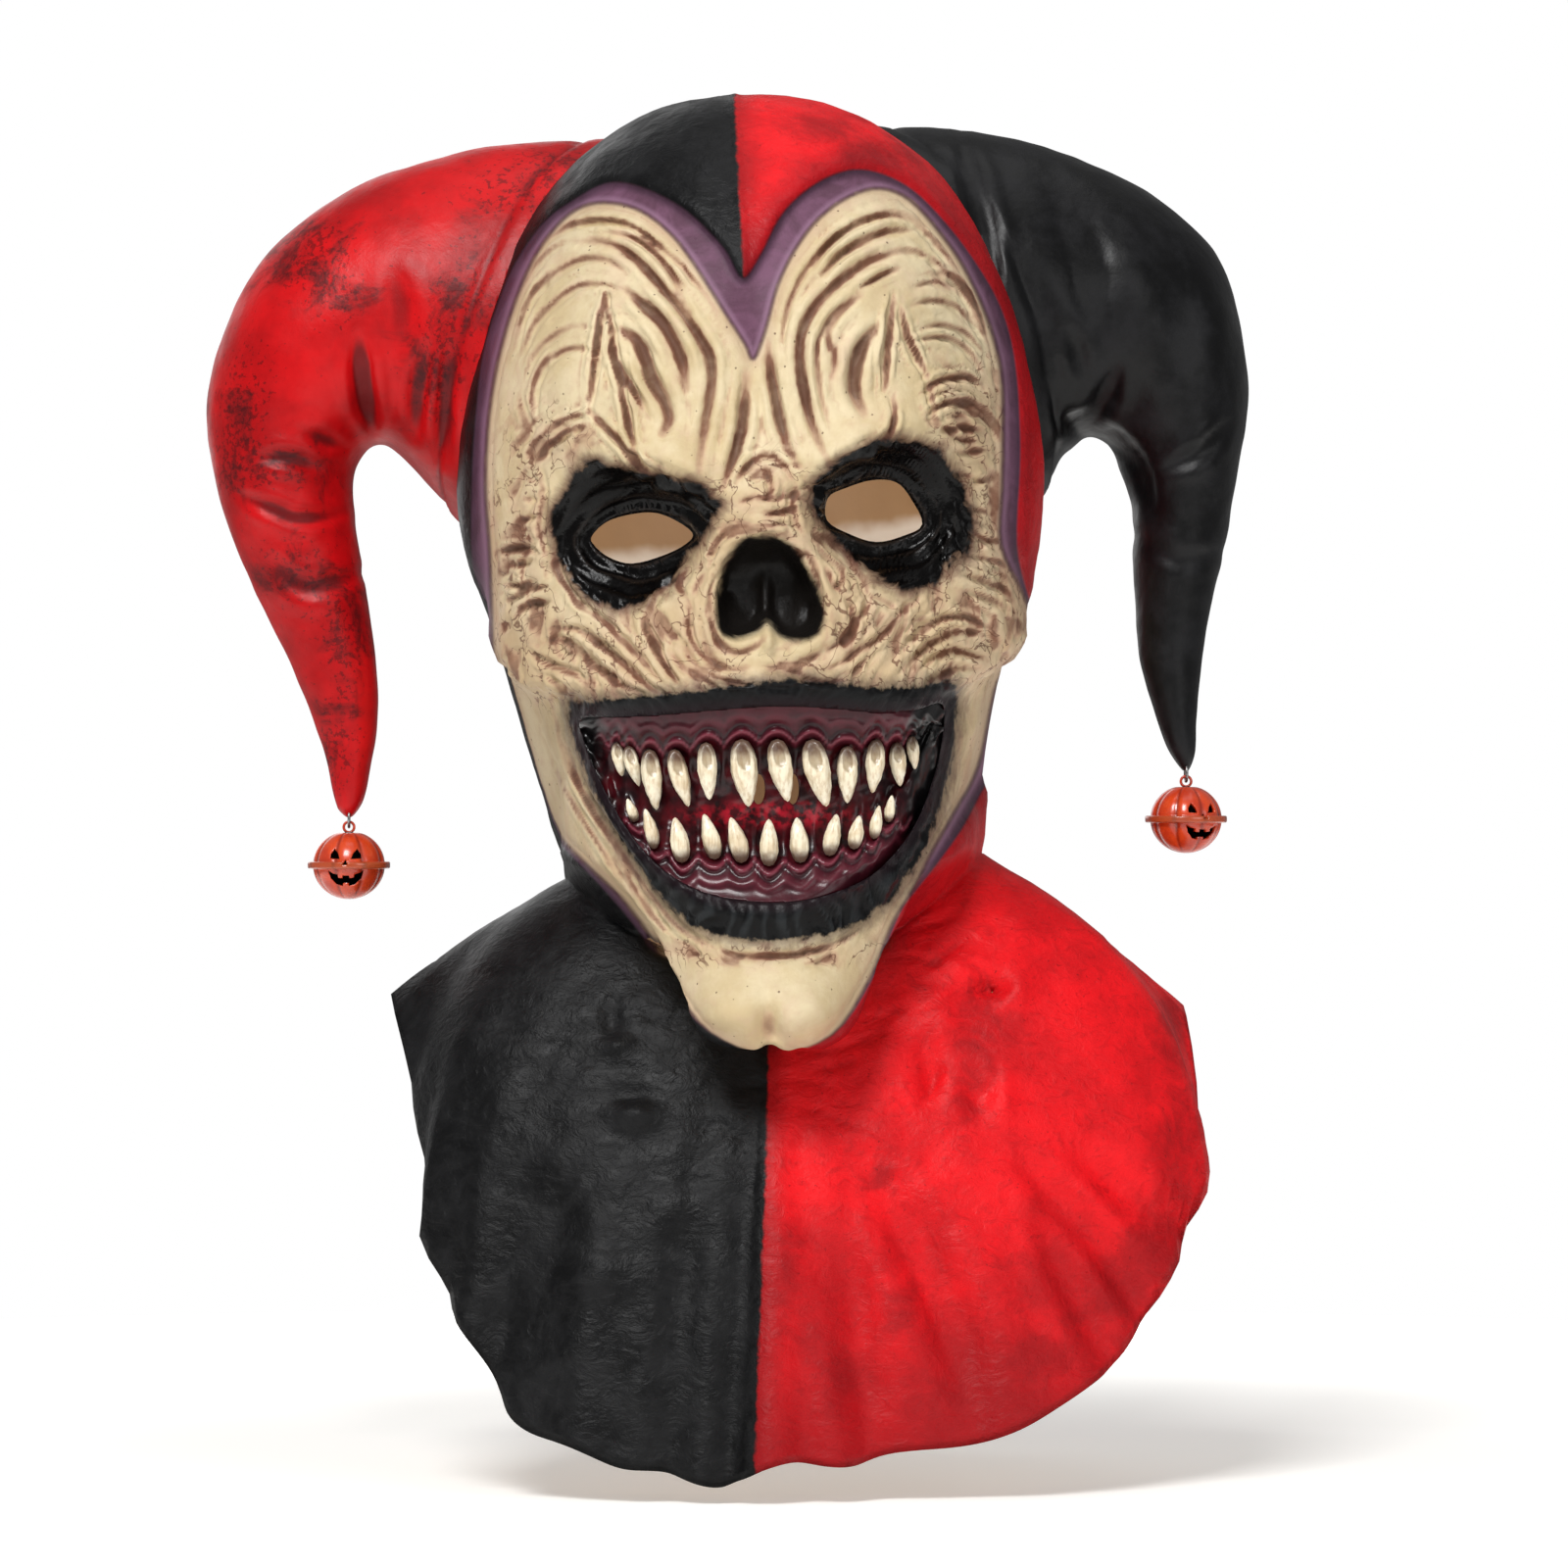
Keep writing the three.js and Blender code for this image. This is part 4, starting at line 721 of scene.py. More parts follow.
def paint_fields(points, down):
    """Distances in mm from each paint's edge, and how deep the cuts are, at points of the shell."""
    sheet = on_sheet(points)
    front = points[:, 1] < -2
    below = 14 * smoothstep(down, HEAD_END + 0.004, THROAT_END + 0.06)
    behind = smoothstep(points[:, 1] - 14 * smoothstep(points[:, 0], 0, 40), 8, 30)
    fields = {
        "hood": (1 - behind) * np.maximum(-outline_distance(sheet, HOOD_EDGE), below - 4) + 20 * behind,
        "band": (1 - behind) * np.maximum(-outline_distance(sheet, SKIN_EDGE), below - 4) + 20 * behind,
        "side": (sheet[:, 0] - np.interp(sheet[:, 1], SEAM[:, 0], SEAM[:, 1])) * UNIT,
        "socket": np.maximum(*[outline_distance(sheet, outline) for outline in SOCKETS]),
        "eye": np.maximum(*[outline_distance(sheet, outline) for outline in EYES]),
        "nose": outline_distance(sheet, NOSE),
        "lips": outline_distance(sheet, drawn(MOUTH_DRAWING, LIPS)),
        "hole": outline_distance(sheet, drawn(MOUTH_DRAWING, MOUTH_HOLE)),
    }
    drawings = [(BROW_CUTS, BROW_DRAWING), (CHEEK_CUTS, CHEEK_DRAWING), (JAW_CUTS, MOUTH_DRAWING)]
    ragged = 0.3 * lumps(points, 2.6, 6.6) + 0.25 * lumps(points, 7, 3.6)
    skin = SKIN_CUT_DEPTH * sum(cut_depth(sheet, cuts, drawing, ragged, 0.3) for cuts, drawing in drawings)
    skin *= 0.9 + 0.45 * lumps(points, 11, 8.8)
    fields["rough"] = np.where(front, zone_share(sheet, ROUGH), 0)
    fields["smudge"] = np.where(front, zone_share(sheet, SMUDGES), 0)
    near = np.flatnonzero(fields["rough"] > 0.05)
    wrinkle = np.zeros(len(points))
    away = (sheet[near] - WEB_MIDDLE) * UNIT
    reach = np.hypot(*away.T)
    strands = np.stack([reach * np.abs(np.arctan2(*away.T)) / 2.6, reach, away[:, 0] / 5], axis=1)
    strands += 1.6 * np.stack([lumps(points[near], 7, seed) for seed in (2.2, 3.3, 4.4)], axis=1)
    broken = smoothstep(lumps(points[near], 12, 2.2), -0.5, 0.1)
    crack = np.exp(-((lumps(strands, 3.6, 9.4) / 0.12) ** 2))
    hollow = smoothstep(lumps(strands, 4.2, 4.9), 0.02, 0.26)
    wrinkle[near] = (0.55 * crack + 1.15 * hollow) * broken - 0.4 * (1 - crack) * (1 - hollow)
    skin = (skin + wrinkle * fields["rough"]) * smoothstep(-fields["band"], 0, 1.5)
    wrinkles = [(BIB_CUT_SPREAD * width, deep, line) for width, deep, line in BIB_CUTS]
    fields["cut"] = np.where(front, skin + cut_depth(sheet, wrinkles, BIB_DRAWING), 0)
    fields["fold"] = np.where(front, cut_depth(sheet, BIB_FOLDS, BIB_DRAWING), 0)
    for name in ("socket", "eye", "nose", "lips", "hole"):
        fields[name] = np.where(front, fields[name], -20)
    lip = smoothstep(fields["lips"], 0, 1.5) * smoothstep(-fields["hole"], -0.5, 1)
    around = np.arctan2(points[:, 2] + 200, points[:, 0] + 2)
    lower = smoothstep(-points[:, 2], 212, 236)
    pleats = np.sin(around * PLEAT["count"] + 6 * lumps(points, 9, 3.1)) * (0.8 + 0.6 * lumps(points, 5, 1.1))
    fields["pleat"] = lip * (0.25 + 0.75 * lower) * pleats
    lids = 1.8 * lumps(points, 11, 7.7) - fields["eye"]
    ring = np.exp(-np.maximum(lids, 0) / LID["reach"]) * smoothstep(-fields["eye"], 0, 1)
    ring *= smoothstep(fields["socket"], -2, 2)
    fields["lid"] = ring * np.cos(2 * math.pi * (lids - 0.8) / LID["spacing"])
    return fields


def fine_detail(points, fields):
    """Rise in mm of the sculpted skin: hood edge, mauve cove, lids, nose, lips, cuts and the cast's own lumps."""
    hood = smoothstep(fields["hood"], -1.5, 1.5)
    rise = HOOD_WELT * (hood - 0.5)
    cove = -fields["hood"] * smoothstep(fields["band"], -0.5, 1)
    rise -= 0.8 * np.exp(-(((cove - 3) / 2) ** 2)) * (cove > 0)
    rise -= 0.9 * np.exp(-((fields["band"] / 0.9) ** 2))
    rise += LID["rise"] * fields["lid"]
    rise += 1.4 * np.exp(-(((fields["nose"] + 2.6) / 1.8) ** 2))
    rise += PLEAT["rise"] * fields["pleat"]
    rise -= fields["cut"] + fields["fold"]
    skin = smoothstep(-fields["band"], 0, 2)
    rise += (0.18 + 0.1 * skin) * lumps(points, 4.5, 1.7)
    rise += (0.55 - 0.25 * skin) * lumps(points, 17, 5.3)
    bib = smoothstep(-points[:, 2], 245, 265) * (1 - skin)
    crumples = lumps(points * (1, 1, 1.3), 9, 6.2) - np.exp(-((lumps(points * (0.7, 1, 1.2), 24, 2.9) / 0.09) ** 2))
    rise += 0.3 * bib * crumples
    seam = np.exp(-((fields["side"] / 1.1) ** 2)) * hood * smoothstep(points[:, 2], -120, -100)
    return np.maximum(rise + 0.5 * seam, -DEEPEST - DEEPEST_SKIN * skin)


def set_points(bm, points):
    """Moves a bmesh's corners to points in mm."""
    for vert, point in zip(bm.verts, points):
        vert.co = point * MM


def wrap(bm, points):
    """Moves a grid's corners to points in mm, and closes its seam and its crown."""
    set_points(bm, points)
    bmesh.ops.remove_doubles(bm, verts=bm.verts, dist=2e-6)


def grid_places(bm):
    flat = np.array([vert.co[:2] for vert in bm.verts])
    return np.stack([flat[:, 0], (1 - flat[:, 1]) / 2], axis=1)


def close_below(bm, apex):
    """Closes an open rim with a fan of faces to a point in mm."""
    rim = [edge for edge in bm.edges if edge.is_boundary]
    fan = bmesh.ops.extrude_edge_only(bm, edges=rim)
    tips = [item for item in fan["geom"] if isinstance(item, bmesh.types.BMVert)]
    bmesh.ops.pointmerge(bm, verts=tips, merge_co=Vector(apex) * MM)
    bmesh.ops.recalc_face_normals(bm, faces=bm.faces)


def lining(name, inset, walls, *materials):
    """The space inside the shell: its broad forms, drawn in by an inset and by a number of walls."""
    bm = bmesh.new()
    bmesh.ops.create_grid(bm, x_segments=LINING_COLUMNS, y_segments=LINING_ROWS, size=1)
    places = grid_places(bm)
    places[:, 1] = np.interp(places[:, 1], *LINING_DOWN)
    points = shell_surface(places, 1)
    normals = shell_normals(places, 0)
    head = 1 - smoothstep(places[:, 1], HEAD_END - 0.08, HEAD_END - 0.01)
    facing = smoothstep(-points[:, 1], -20, 30)
    carved = points + normals * broad_detail(points)[:, None]
    nose = smoothstep(outline_distance(on_sheet(points), NOSE), -9, -2) * (points[:, 1] < -30)
    fields = paint_fields(carved, places[:, 1])
    sunk = np.maximum(0, -fine_detail(carved, fields)) + 1.6 * smoothstep(fields["socket"], -7, -1)
    wall = WALL + (FACE_WALL - WALL) * head * facing + sunk + 7 * nose
    points = carved - normals * (inset + walls * wall)[:, None]
    wrap(bm, points)
    close_below(bm, LINING_APEX)
    for face in bm.faces:
        face.material_index = len(materials) - 1
    return new_piece(name, bm, *materials)


def prism(name, front, back, *materials):
    """A solid between two outlines in mm that have the same number of corners."""
    bm = bmesh.new()
    bmesh.ops.create_circle(bm, cap_ends=True, segments=len(front), radius=1)
    set_points(bm, front)
    moved = bmesh.ops.extrude_face_region(bm, geom=bm.faces[:], use_keep_orig=True)
    bm.verts.index_update()
    far = [item for item in moved["geom"] if isinstance(item, bmesh.types.BMVert)]
    for vert in far:
        vert.co = back[int(np.argmin(np.linalg.norm(front * MM - np.array(vert.co), axis=1)))] * MM
    bmesh.ops.recalc_face_normals(bm, faces=bm.faces)
    return new_piece(name, bm, *materials)


def sheet_cutter(name, outline, *materials):
    """A prism that cuts an outline of the sheet through the face, along the line of sight."""
    outline = smooth_line(outline, closed=True)
    return prism(name, off_sheet(outline, CUT_FROM), off_sheet(outline, CUT_TO), *materials)


def shape_with(made, operation, *tools):
    """Joins, cuts or trims a piece with other objects, which are then removed."""
    for tool in tools:
        step = made.modifiers.new(operation, "BOOLEAN")
        step.operation = operation
        step.solver = "MANIFOLD"
        step.object = tool
    graph = bpy.context.evaluated_depsgraph_get()
    mesh = bpy.data.meshes.new_from_object(made.evaluated_get(graph))
    made.modifiers.clear()
    made.data = mesh
    for tool in tools:
        bpy.data.objects.remove(tool)


def vertex_places(mesh):
    """The corners of a mesh, in mm."""
    flat = np.zeros(3 * len(mesh.vertices), np.float32)
    mesh.vertices.foreach_get("co", flat)
    return flat.reshape(-1, 3).astype(float) / MM


def write_field(mesh, name, values):
    field = mesh.attributes.get(name) or mesh.attributes.new(name, "FLOAT", "POINT")
    field.data.foreach_set("value", np.asarray(values, np.float32))


# Painted latex: satin rubber paint brushed and sprayed on, with a brown wash rubbed into the cuts.
# It is matt on the bone skin, satin on the hood, bib, nose and lips, and glossy black in the sockets.
painted, tree, shader, coords = new_material("hand_painted_latex")
# Patterns by the size of their marks in mm: clouds of paint, smears, stipple and specks.
# The stipple and the specks are drawn coarser than sprayed paint's own, so that they show.
pattern = {}
for name, size, detail, wander in [("cloud", 28, 5, 0), ("smear", 13, 7, 0.6), ("stipple", 4, 4, 0),
                                   ("speck", 1.6, 2, 0)]:
    pattern[name] = add(tree, "TexNoise", {"Vector": coords, "Scale": 1 / (size * MM), "Detail": detail,
                                           "Roughness": 0.65, "Distortion": wander})
for name in ("hood", "band", "side", "socket", "nose", "lips", "hole", "cut", "smudge", "rough", "pleat", "lid"):
    pattern[name] = add(tree, "Attribute", {}, "Fac", attribute_name=name)
# Paint edges that marks make uneven: the field, the marks and how far they move it
for name, marks, move in [("side", "stipple", 2.4), ("lips", "stipple", 5.0), ("socket", "smear", 11.0),
                          ("nose", "smear", 6.0), ("band", "stipple", 1.6), ("smudge", "smear", 2.2),
                          ("cut", "stipple", 0.5), ("rough", "smear", 1.2)]:
    moved = {0: pattern[marks], 1: move, 2: pattern[name]}
    pattern[name + "_edge"] = add(tree, "Math", moved, operation="MULTIPLY_ADD")
height = add(tree, "SeparateXYZ", {0: coords}, "Z")
pattern["low"] = add(tree, "Math", {0: pattern["cloud"], 1: -0.06, 2: height}, operation="MULTIPLY_ADD")
stretched = add(tree, "VectorMath", {0: coords, 1: (0.75, 0.8, 1.15)}, operation="MULTIPLY")
pattern["leather"] = add(tree, "TexNoise", {"Vector": stretched, "Scale": 1 / (5 * MM), "Detail": 5.0,
                                            "Roughness": 0.6, "Distortion": 1.4})
crackle = add(tree, "TexNoise", {"Vector": coords, "Scale": 1 / (9 * MM), "Detail": 3.0, "Distortion": 0.5})
crackle = add(tree, "Math", {0: crackle, 1: 0.5}, operation="SUBTRACT")
pattern["crackle"] = add(tree, "Math", {0: crackle}, operation="ABSOLUTE")
pores = add(tree, "TexVoronoi", {"Vector": coords, "Scale": 1 / (4.5 * MM), "Randomness": 1.0}, "Distance")
pattern["pores"] = add(tree, "Math", {0: pattern["cloud"], 1: 0.16, 2: pores}, operation="MULTIPLY_ADD")
# Masks read from the patterns: what they read, from where to where, and their strength at both ends
mask = {}
for name, source, low, high, at_low, at_high in [
    ("bone_cloud", "cloud", 0.38, 0.62, 0, 1), ("bone_stain", "smear", 0.48, 0.68, 0, 0.45),
    # The pale brown beside each cut is partly the wash bleeding out and partly painted shade in the hollows between
    # cuts
    ("bone_blush", "rough_edge", 0.95, 1.7, 0, 0.26), ("wash_bleed_and_shade", "cut_edge", 0.2, 0.9, 0, 0.5),
    ("wash", "cut_edge", 0.7, 1.6, 0, 1), ("wash_wear", "smear", 0.3, 0.6, 0.5, 1),
    ("core", "cut_edge", 1.6, 2.5, 0, 0.6), ("hairline", "crackle", 0.016, 0.005, 0, 0.8),
    ("cracked", "rough_edge", 0.8, 1.3, 0, 1), ("pore", "pores", 0.17, 0.135, 0, 0.7),
    # The brown tints along the band's edge, round the sockets and round the lips are partly airbrushed paint and
    # partly painted shade
    ("edge_tint_and_shade", "band_edge", -6, 1.0, 0, 0.55), ("eye_tint_and_shade", "socket_edge", 0.5, 5.2, 0, 0.85),
    ("lip_tint_and_shade", "lips_edge", -2.5, 2.5, 0, 0.7), ("mauve_cloud", "smear", 0.35, 0.65, 0, 1),
    # On the mauve band a painted shadow darkens it under the hood's rim, and a painted highlight lightens its skin
    # side
    ("mauve_painted_shadow", "hood", -3.5, -0.2, 0, 0.75), ("mauve_painted_highlight", "band", 2.6, 0.8, 0, 0.5),
    ("mauve", "band_edge", 0.3, 1.3, 0, 1), ("line_in", "band", -1.3, -0.1, 0, 0.8),
    ("line_out", "band", 1.1, 0.0, 0, 1), ("red_cloud", "cloud", 0.36, 0.64, 0, 1),
    ("red_smear", "smudge_edge", 1.45, 2.3, 0, 0.6), ("red_speck", "speck", 0.66, 0.74, 0, 0.4),
    # The darker red in the bib's cuts is painted shade
    ("red_cut_shade", "cut", 0.2, 1.2, 0, 0.32), ("red_shade", "side", 9.0, 0.0, 0, 0.45),
    # The darker red along the hood's rim is painted shade
    ("red_rim_shade", "hood", 11.0, 0.5, 0, 0.6), ("black_cloud", "smear", 0.35, 0.7, 0, 1),
    ("red_half", "side_edge", 0.7, 1.9, 0, 1), ("hood", "hood", -0.5, 0.5, 0, 1),
    # The grey on the crests of the lip's pleats is a painted highlight
    ("lip_pleat_highlight", "pleat", -0.2, 1.0, 0, 0.7), ("lip_roll", "hole", -4.5, -0.5, 0, 0.8),
    ("lips", "lips_edge", 1.9, 3.3, 0, 1), ("socket", "socket_edge", 4.2, 6.0, 0, 1),
    # The grey brown on the crests of the lid folds is a painted highlight
    ("nose", "nose_edge", 1.4, 4.2, 0, 1), ("lid_fold_highlight", "lid", 0.2, 0.9, 0, 0.8),
    ("hem_shade", "low", -0.35, -0.44, 0, 0.85), ("red_grain", "leather", 0.5, 0.72, 0, 0.5),
    ("satin", "hood", -0.5, 0.5, 0.55, 0.46), ("rub", "smear", 0.35, 0.7, -0.06, 0.08),
]:
    mask[name] = add(tree, "MapRange", {0: pattern[source], 1: low, 2: high, 3: at_low, 4: at_high},
                     interpolation_type="SMOOTHSTEP")
for name, first, second in [("wash", "wash", "wash_wear"), ("hairline", "hairline", "cracked"),
                            ("edge_line", "line_in", "line_out")]:
    mask[name] = add(tree, "Math", {0: mask[first], 1: mask[second]}, operation="MULTIPLY")
# Coats in the order they are laid on: the paint below, the mask, and the paint or finished coat above
coats = {"bone": linear("dccea8"), "mauve": linear("583a4a"), "red": linear("e3141c"), "black": linear("09090a"),
         "lips": linear("040405"), "socket": linear("040303")}
for base, share, paint in [
    ("bone", "bone_cloud", "cbb98e"), ("bone", "bone_stain", "cfb398"), ("bone", "bone_blush", "bb967c"),
    ("bone", "edge_tint_and_shade", "b08d7a"), ("bone", "wash_bleed_and_shade", "b18a74"), ("bone", "wash", "7d5745"),
    ("bone", "core", "4e3428"), ("bone", "hairline", "6b4838"), ("bone", "pore", "5c4033"),
    ("bone", "eye_tint_and_shade", "5a3b30"), ("bone", "lip_tint_and_shade", "4a3631"), ("mauve", "mauve_cloud", "704c62"),
    ("mauve", "mauve_painted_highlight", "96728a"), ("mauve", "mauve_painted_shadow", "33222f"), ("bone", "mauve", "mauve"),
    ("bone", "edge_line", "4d3236"), ("red", "red_cloud", "c41118"), ("red", "red_smear", "780c12"),
    ("red", "red_grain", "a50d14"), ("red", "red_speck", "3a080c"), ("red", "red_cut_shade", "5a0a0f"),
    ("red", "red_shade", "4c080d"), ("red", "red_rim_shade", "6a0b14"), ("red", "hem_shade", "8a0d13"),
    ("black", "black_cloud", "19191a"), ("black", "red_half", "red"), ("bone", "hood", "black"),
    ("lips", "lip_pleat_highlight", "282b2d"), ("lips", "lip_roll", "1a0d13"), ("bone", "lips", "lips"),
    ("socket", "lid_fold_highlight", "2b2420"), ("bone", "socket", "socket"), ("bone", "nose", "14110f"),
]:
    above = coats[paint] if paint in coats else linear(paint)
    coats[base] = add(tree, "Mix", {0: mask[share], 6: coats[base], 7: above}, out=2, data_type="RGBA")
gloss = add(tree, "Math", {0: mask["satin"], 1: mask["rub"]}, operation="ADD")
for name, drop in [("socket", -0.3), ("nose", -0.1), ("lips", -0.12)]:
    gloss = add(tree, "Math", {0: mask[name], 1: drop, 2: gloss}, operation="MULTIPLY_ADD")
pitted = add(tree, "Bump", {"Strength": 0.5, "Distance": 0.0006, "Height": pattern["stipple"]})
sunk = {"Strength": 0.5, "Distance": 0.0008, "Height": mask["pore"], "Normal": pitted}
pitted = add(tree, "Bump", sunk, invert=True)
creased = add(tree, "Math", {0: pattern["leather"], 1: mask["hood"]}, operation="MULTIPLY")
pitted = add(tree, "Bump", {"Strength": 0.5, "Distance": 0.0012, "Height": creased, "Normal": pitted})
grained = add(tree, "Bump", {"Strength": 0.25, "Distance": 0.0003, "Height": pattern["speck"], "Normal": pitted})
plug(tree, shader, {"Base Color": coats["bone"], "Roughness": gloss, "IOR": 1.5, "Specular IOR Level": 0.16,
                    "Normal": grained})

# Bare cast latex: the unpainted inside, amber and uneven as it came off the plaster and darker as painted shade,
# with a pale band of painted light level with the lower lids, and black overspray round the mouth
bare_latex, tree, shader, coords = new_material("bare_cast_latex")
cloud = add(tree, "TexNoise", {"Vector": coords, "Scale": 1 / (35 * MM), "Detail": 4.0})
height = add(tree, "SeparateXYZ", {0: coords}, "Z")
height = add(tree, "Math", {0: cloud, 1: 0.02, 2: height}, operation="MULTIPLY_ADD")
side = add(tree, "SeparateXYZ", {0: coords}, "X")
height = add(tree, "Math", {0: side, 1: -0.1, 2: height}, operation="MULTIPLY_ADD")
# The pale band level with the lower lids, which shows through the eyes, is painted light
above = add(tree, "MapRange", {0: height, 1: -0.119, 2: -0.126}, interpolation_type="SMOOTHSTEP")
below = add(tree, "MapRange", {0: height, 1: -0.175, 2: -0.145}, interpolation_type="SMOOTHSTEP")
painted_light_band = add(tree, "Math", {0: above, 1: below}, operation="MULTIPLY")
cream = add(tree, "Mix", {0: cloud, 6: linear("c3a27a"), 7: linear("9c7a52")}, out=2, data_type="RGBA")
cream = add(tree, "Mix", {0: painted_light_band, 6: cream, 7: linear("f6f1e6")}, out=2, data_type="RGBA")
lips = add(tree, "Attribute", {}, "Fac", attribute_name="lips")
inked = add(tree, "MapRange", {0: lips, 1: -16.0, 2: -9.0}, interpolation_type="SMOOTHSTEP")
cream = add(tree, "Mix", {0: inked, 6: cream, 7: linear("0b0a0a")}, out=2, data_type="RGBA")
ripple = add(tree, "TexNoise", {"Vector": coords, "Scale": 1 / (6 * MM), "Detail": 3.0})
rippled = add(tree, "Bump", {"Strength": 0.3, "Distance": 0.0008, "Height": ripple})
plug(tree, shader, {"Base Color": cream, "Roughness": 0.55, "IOR": 1.5, "Normal": rippled})

bm = bmesh.new()
bmesh.ops.create_grid(bm, x_segments=COLUMNS, y_segments=ROWS, size=1)
face_edges = [
    edge for edge in bm.edges
    if all(abs(vert.co.x) < FINE_FACE and FACE_TOP < (1 - vert.co.y) / 2 < HEAD_END + 0.001 for vert in edge.verts)
]
bib_edges = [
    edge for edge in bm.edges
    if all(abs(vert.co.x) < FINE_BIB and (1 - vert.co.y) / 2 > HEAD_END + THROAT_GAP for vert in edge.verts)
]
bmesh.ops.subdivide_edges(bm, edges=face_edges + bib_edges, cuts=1, use_grid_fill=True)
bm.verts.index_update()


def carved_shell(places):
    """The shell's broad forms at places on its sheet, and the fields that its paint and its fine forms read."""
    points = shell_surface(places, 1)
    points = points + shell_normals(places, 0) * broad_detail(points)[:, None]
    return points, paint_fields(points, places[:, 1])


_, fields = carved_shell(grid_places(bm))
edges = np.min(np.abs([fields[name] for name in ("hood", "band", "socket", "nose", "lips", "eye")]), axis=0)
busy = np.maximum(np.abs(fields["cut"]), 1.2 - edges)
in_face = {vert.index for edge in face_edges if edge.is_valid for vert in edge.verts}
limit = np.quantile(busy[sorted(in_face)], 1 - FINE_SHARE)
busy_faces = [face for face in bm.faces if sum(busy[vert.index] for vert in face.verts) > 4 * limit]
busy_edges = {edge for face in busy_faces for edge in face.edges}
fine_edges = [
    edge for edge in bm.edges
    if edge in busy_edges
    and all(abs(vert.co.x) < FINE_FACE and vert.co.y > 1 - 2 * HEAD_END for vert in edge.verts)
]
bmesh.ops.subdivide_edges(bm, edges=fine_edges, cuts=1, use_grid_fill=True)
places = grid_places(bm)
points, fields = carved_shell(places)
detail = fine_detail(points, fields)
detail[places[:, 1] < 0.01] = 0
points = points + shell_normals(places, 1) * detail[:, None]
down_layer = bm.verts.layers.float.new("down")
for vert, place in zip(bm.verts, places):
    vert[down_layer] = place[1]
wrap(bm, points)
close_below(bm, SHELL_APEX)
mask_shell = new_piece("latex_shell", bm, painted, bare_latex)
cutters = [sheet_cutter(f"eye_cutter_{i}", outline, painted) for i, outline in enumerate(EYES)]
cutters.append(sheet_cutter("mouth_cutter", drawn(MOUTH_DRAWING, MOUTH_HOLE), painted))
shape_with(mask_shell, "DIFFERENCE", lining("shell_lining", 0, 1, painted, bare_latex), *cutters)
points = vertex_places(mask_shell.data)
down = np.zeros(len(points), np.float32)
mask_shell.data.attributes["down"].data.foreach_get("value", down)
for name, values in paint_fields(points, down).items():
    write_field(mask_shell.data, name, values)
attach(mask_shell, "mask")
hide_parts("mask_shell")

# The horns: two hollow latex castings, trimmed to the hood's curve and glued on it, that droop to a soft tip.
# The red one hangs on the black side and the black one on the red, and both crease where they turn over.
# Sides and rings of a horn and of its hollow, and the section where each ends
HORN_SIDES, HORN_RINGS, HORN_END = 84, 190, 12
HORN_HOLLOW_SIDES, HORN_HOLLOW_RINGS, HORN_HOLLOW_END = 28, 44, 10
HORN_ROOT = 0.6
# The welt where a horn is glued on: its height, and where it starts to fall and ends over the hood, in mm
HORN_WELT = {"height": 0.8, "fall": 5.4, "end": 7}
HORN_DEEPEST = 1.2
# Sections from inside the hood to the tip: number, outer edge x and z, inner edge x and z, y and reach in depth
HORN_RED = np.array([
    (0, -30, -9, -62, -140, 30, 52), (1, -62, -10, -84, -130, 30, 49), (2, -91, -14, -98, -116, 29, 45),
    (3, -118, -23, -107, -107, 28, 41), (4, -140, -38, -112.5, -104, 27, 38), (5, -157, -59, -117, -106, 26, 34),
    (6, -165.5, -90, -121, -113, 24, 29), (7, -162, -122, -121.5, -124, 21, 24),
    (8, -151.5, -148, -118.5, -142, 18, 18.5), (9, -139, -175, -114.5, -167, 15, 14),
    (10, -130.5, -196, -113.5, -190, 12, 9.5), (11, -127, -212, -116.5, -208, 10, 6),
    (12, -125, -219, -120, -219, 9, 3.4),
], float)
HORN_BLACK = np.array([
    (0, 30, -6, 52, -138, 30, 52), (1, 58, -5, 80, -131, 30, 49), (2, 84, -9, 92, -119, 29, 45),
    (3, 106, -16, 98, -107, 28, 42), (4, 126, -26, 104, -102, 27, 39), (5, 144.5, -43, 110, -103, 26, 35),
    (6, 153.5, -66, 115, -108, 24, 31), (7, 155, -95, 118.5, -117, 22, 26), (8, 149.5, -125, 120, -129, 19, 19.5),
    (9, 144.5, -148, 120, -148, 16, 14.5), (10, 140.5, -170, 121, -169, 13, 10),
    (11, 138.5, -191, 126.5, -190, 10, 6.5), (12, 137.5, -205, 132.5, -205, 9, 3.4),
], float)
HORN_RED_DRAWING = (210, 130, 3.2)
HORN_RED_CREASES = [
    (2.6, 2.8, [(500, 690), (508, 790), (520, 880), (545, 985)]),
    (2.4, 1.8, [(725, 730), (695, 860), (690, 1000)]),
    (2.4, 1.6, [(800, 700), (782, 880), (790, 1080)]),
    (2.0, 1.7, [(170, 1080), (270, 1078), (370, 1112)]),
    (2.0, 1.8, [(120, 1205), (230, 1250), (300, 1275), (440, 1265)]),
    (2.0, 1.4, [(330, 1000), (440, 1040)]),
    (2.6, 1.5, [(230, 1420), (330, 1500), (500, 1460)]),
    (3.5, 1.1, [(610, 470), (640, 600), (622, 720)]),
]
HORN_RED_SMUDGES = [
    (300, 270, 45, 30), (345, 300, 30, 30), (252, 400, 30, 60), (238, 470, 25, 50), (300, 580, 40, 40),
    (350, 650, 30, 70), (345, 770, 25, 50), (445, 385, 30, 60), (475, 300, 30, 60), (520, 200, 50, 30),
    (565, 165, 40, 20), (290, 480, 50, 20), (330, 240, 40, 20),
]
HORN_BLACK_DRAWING = (960, 130, 3.2)
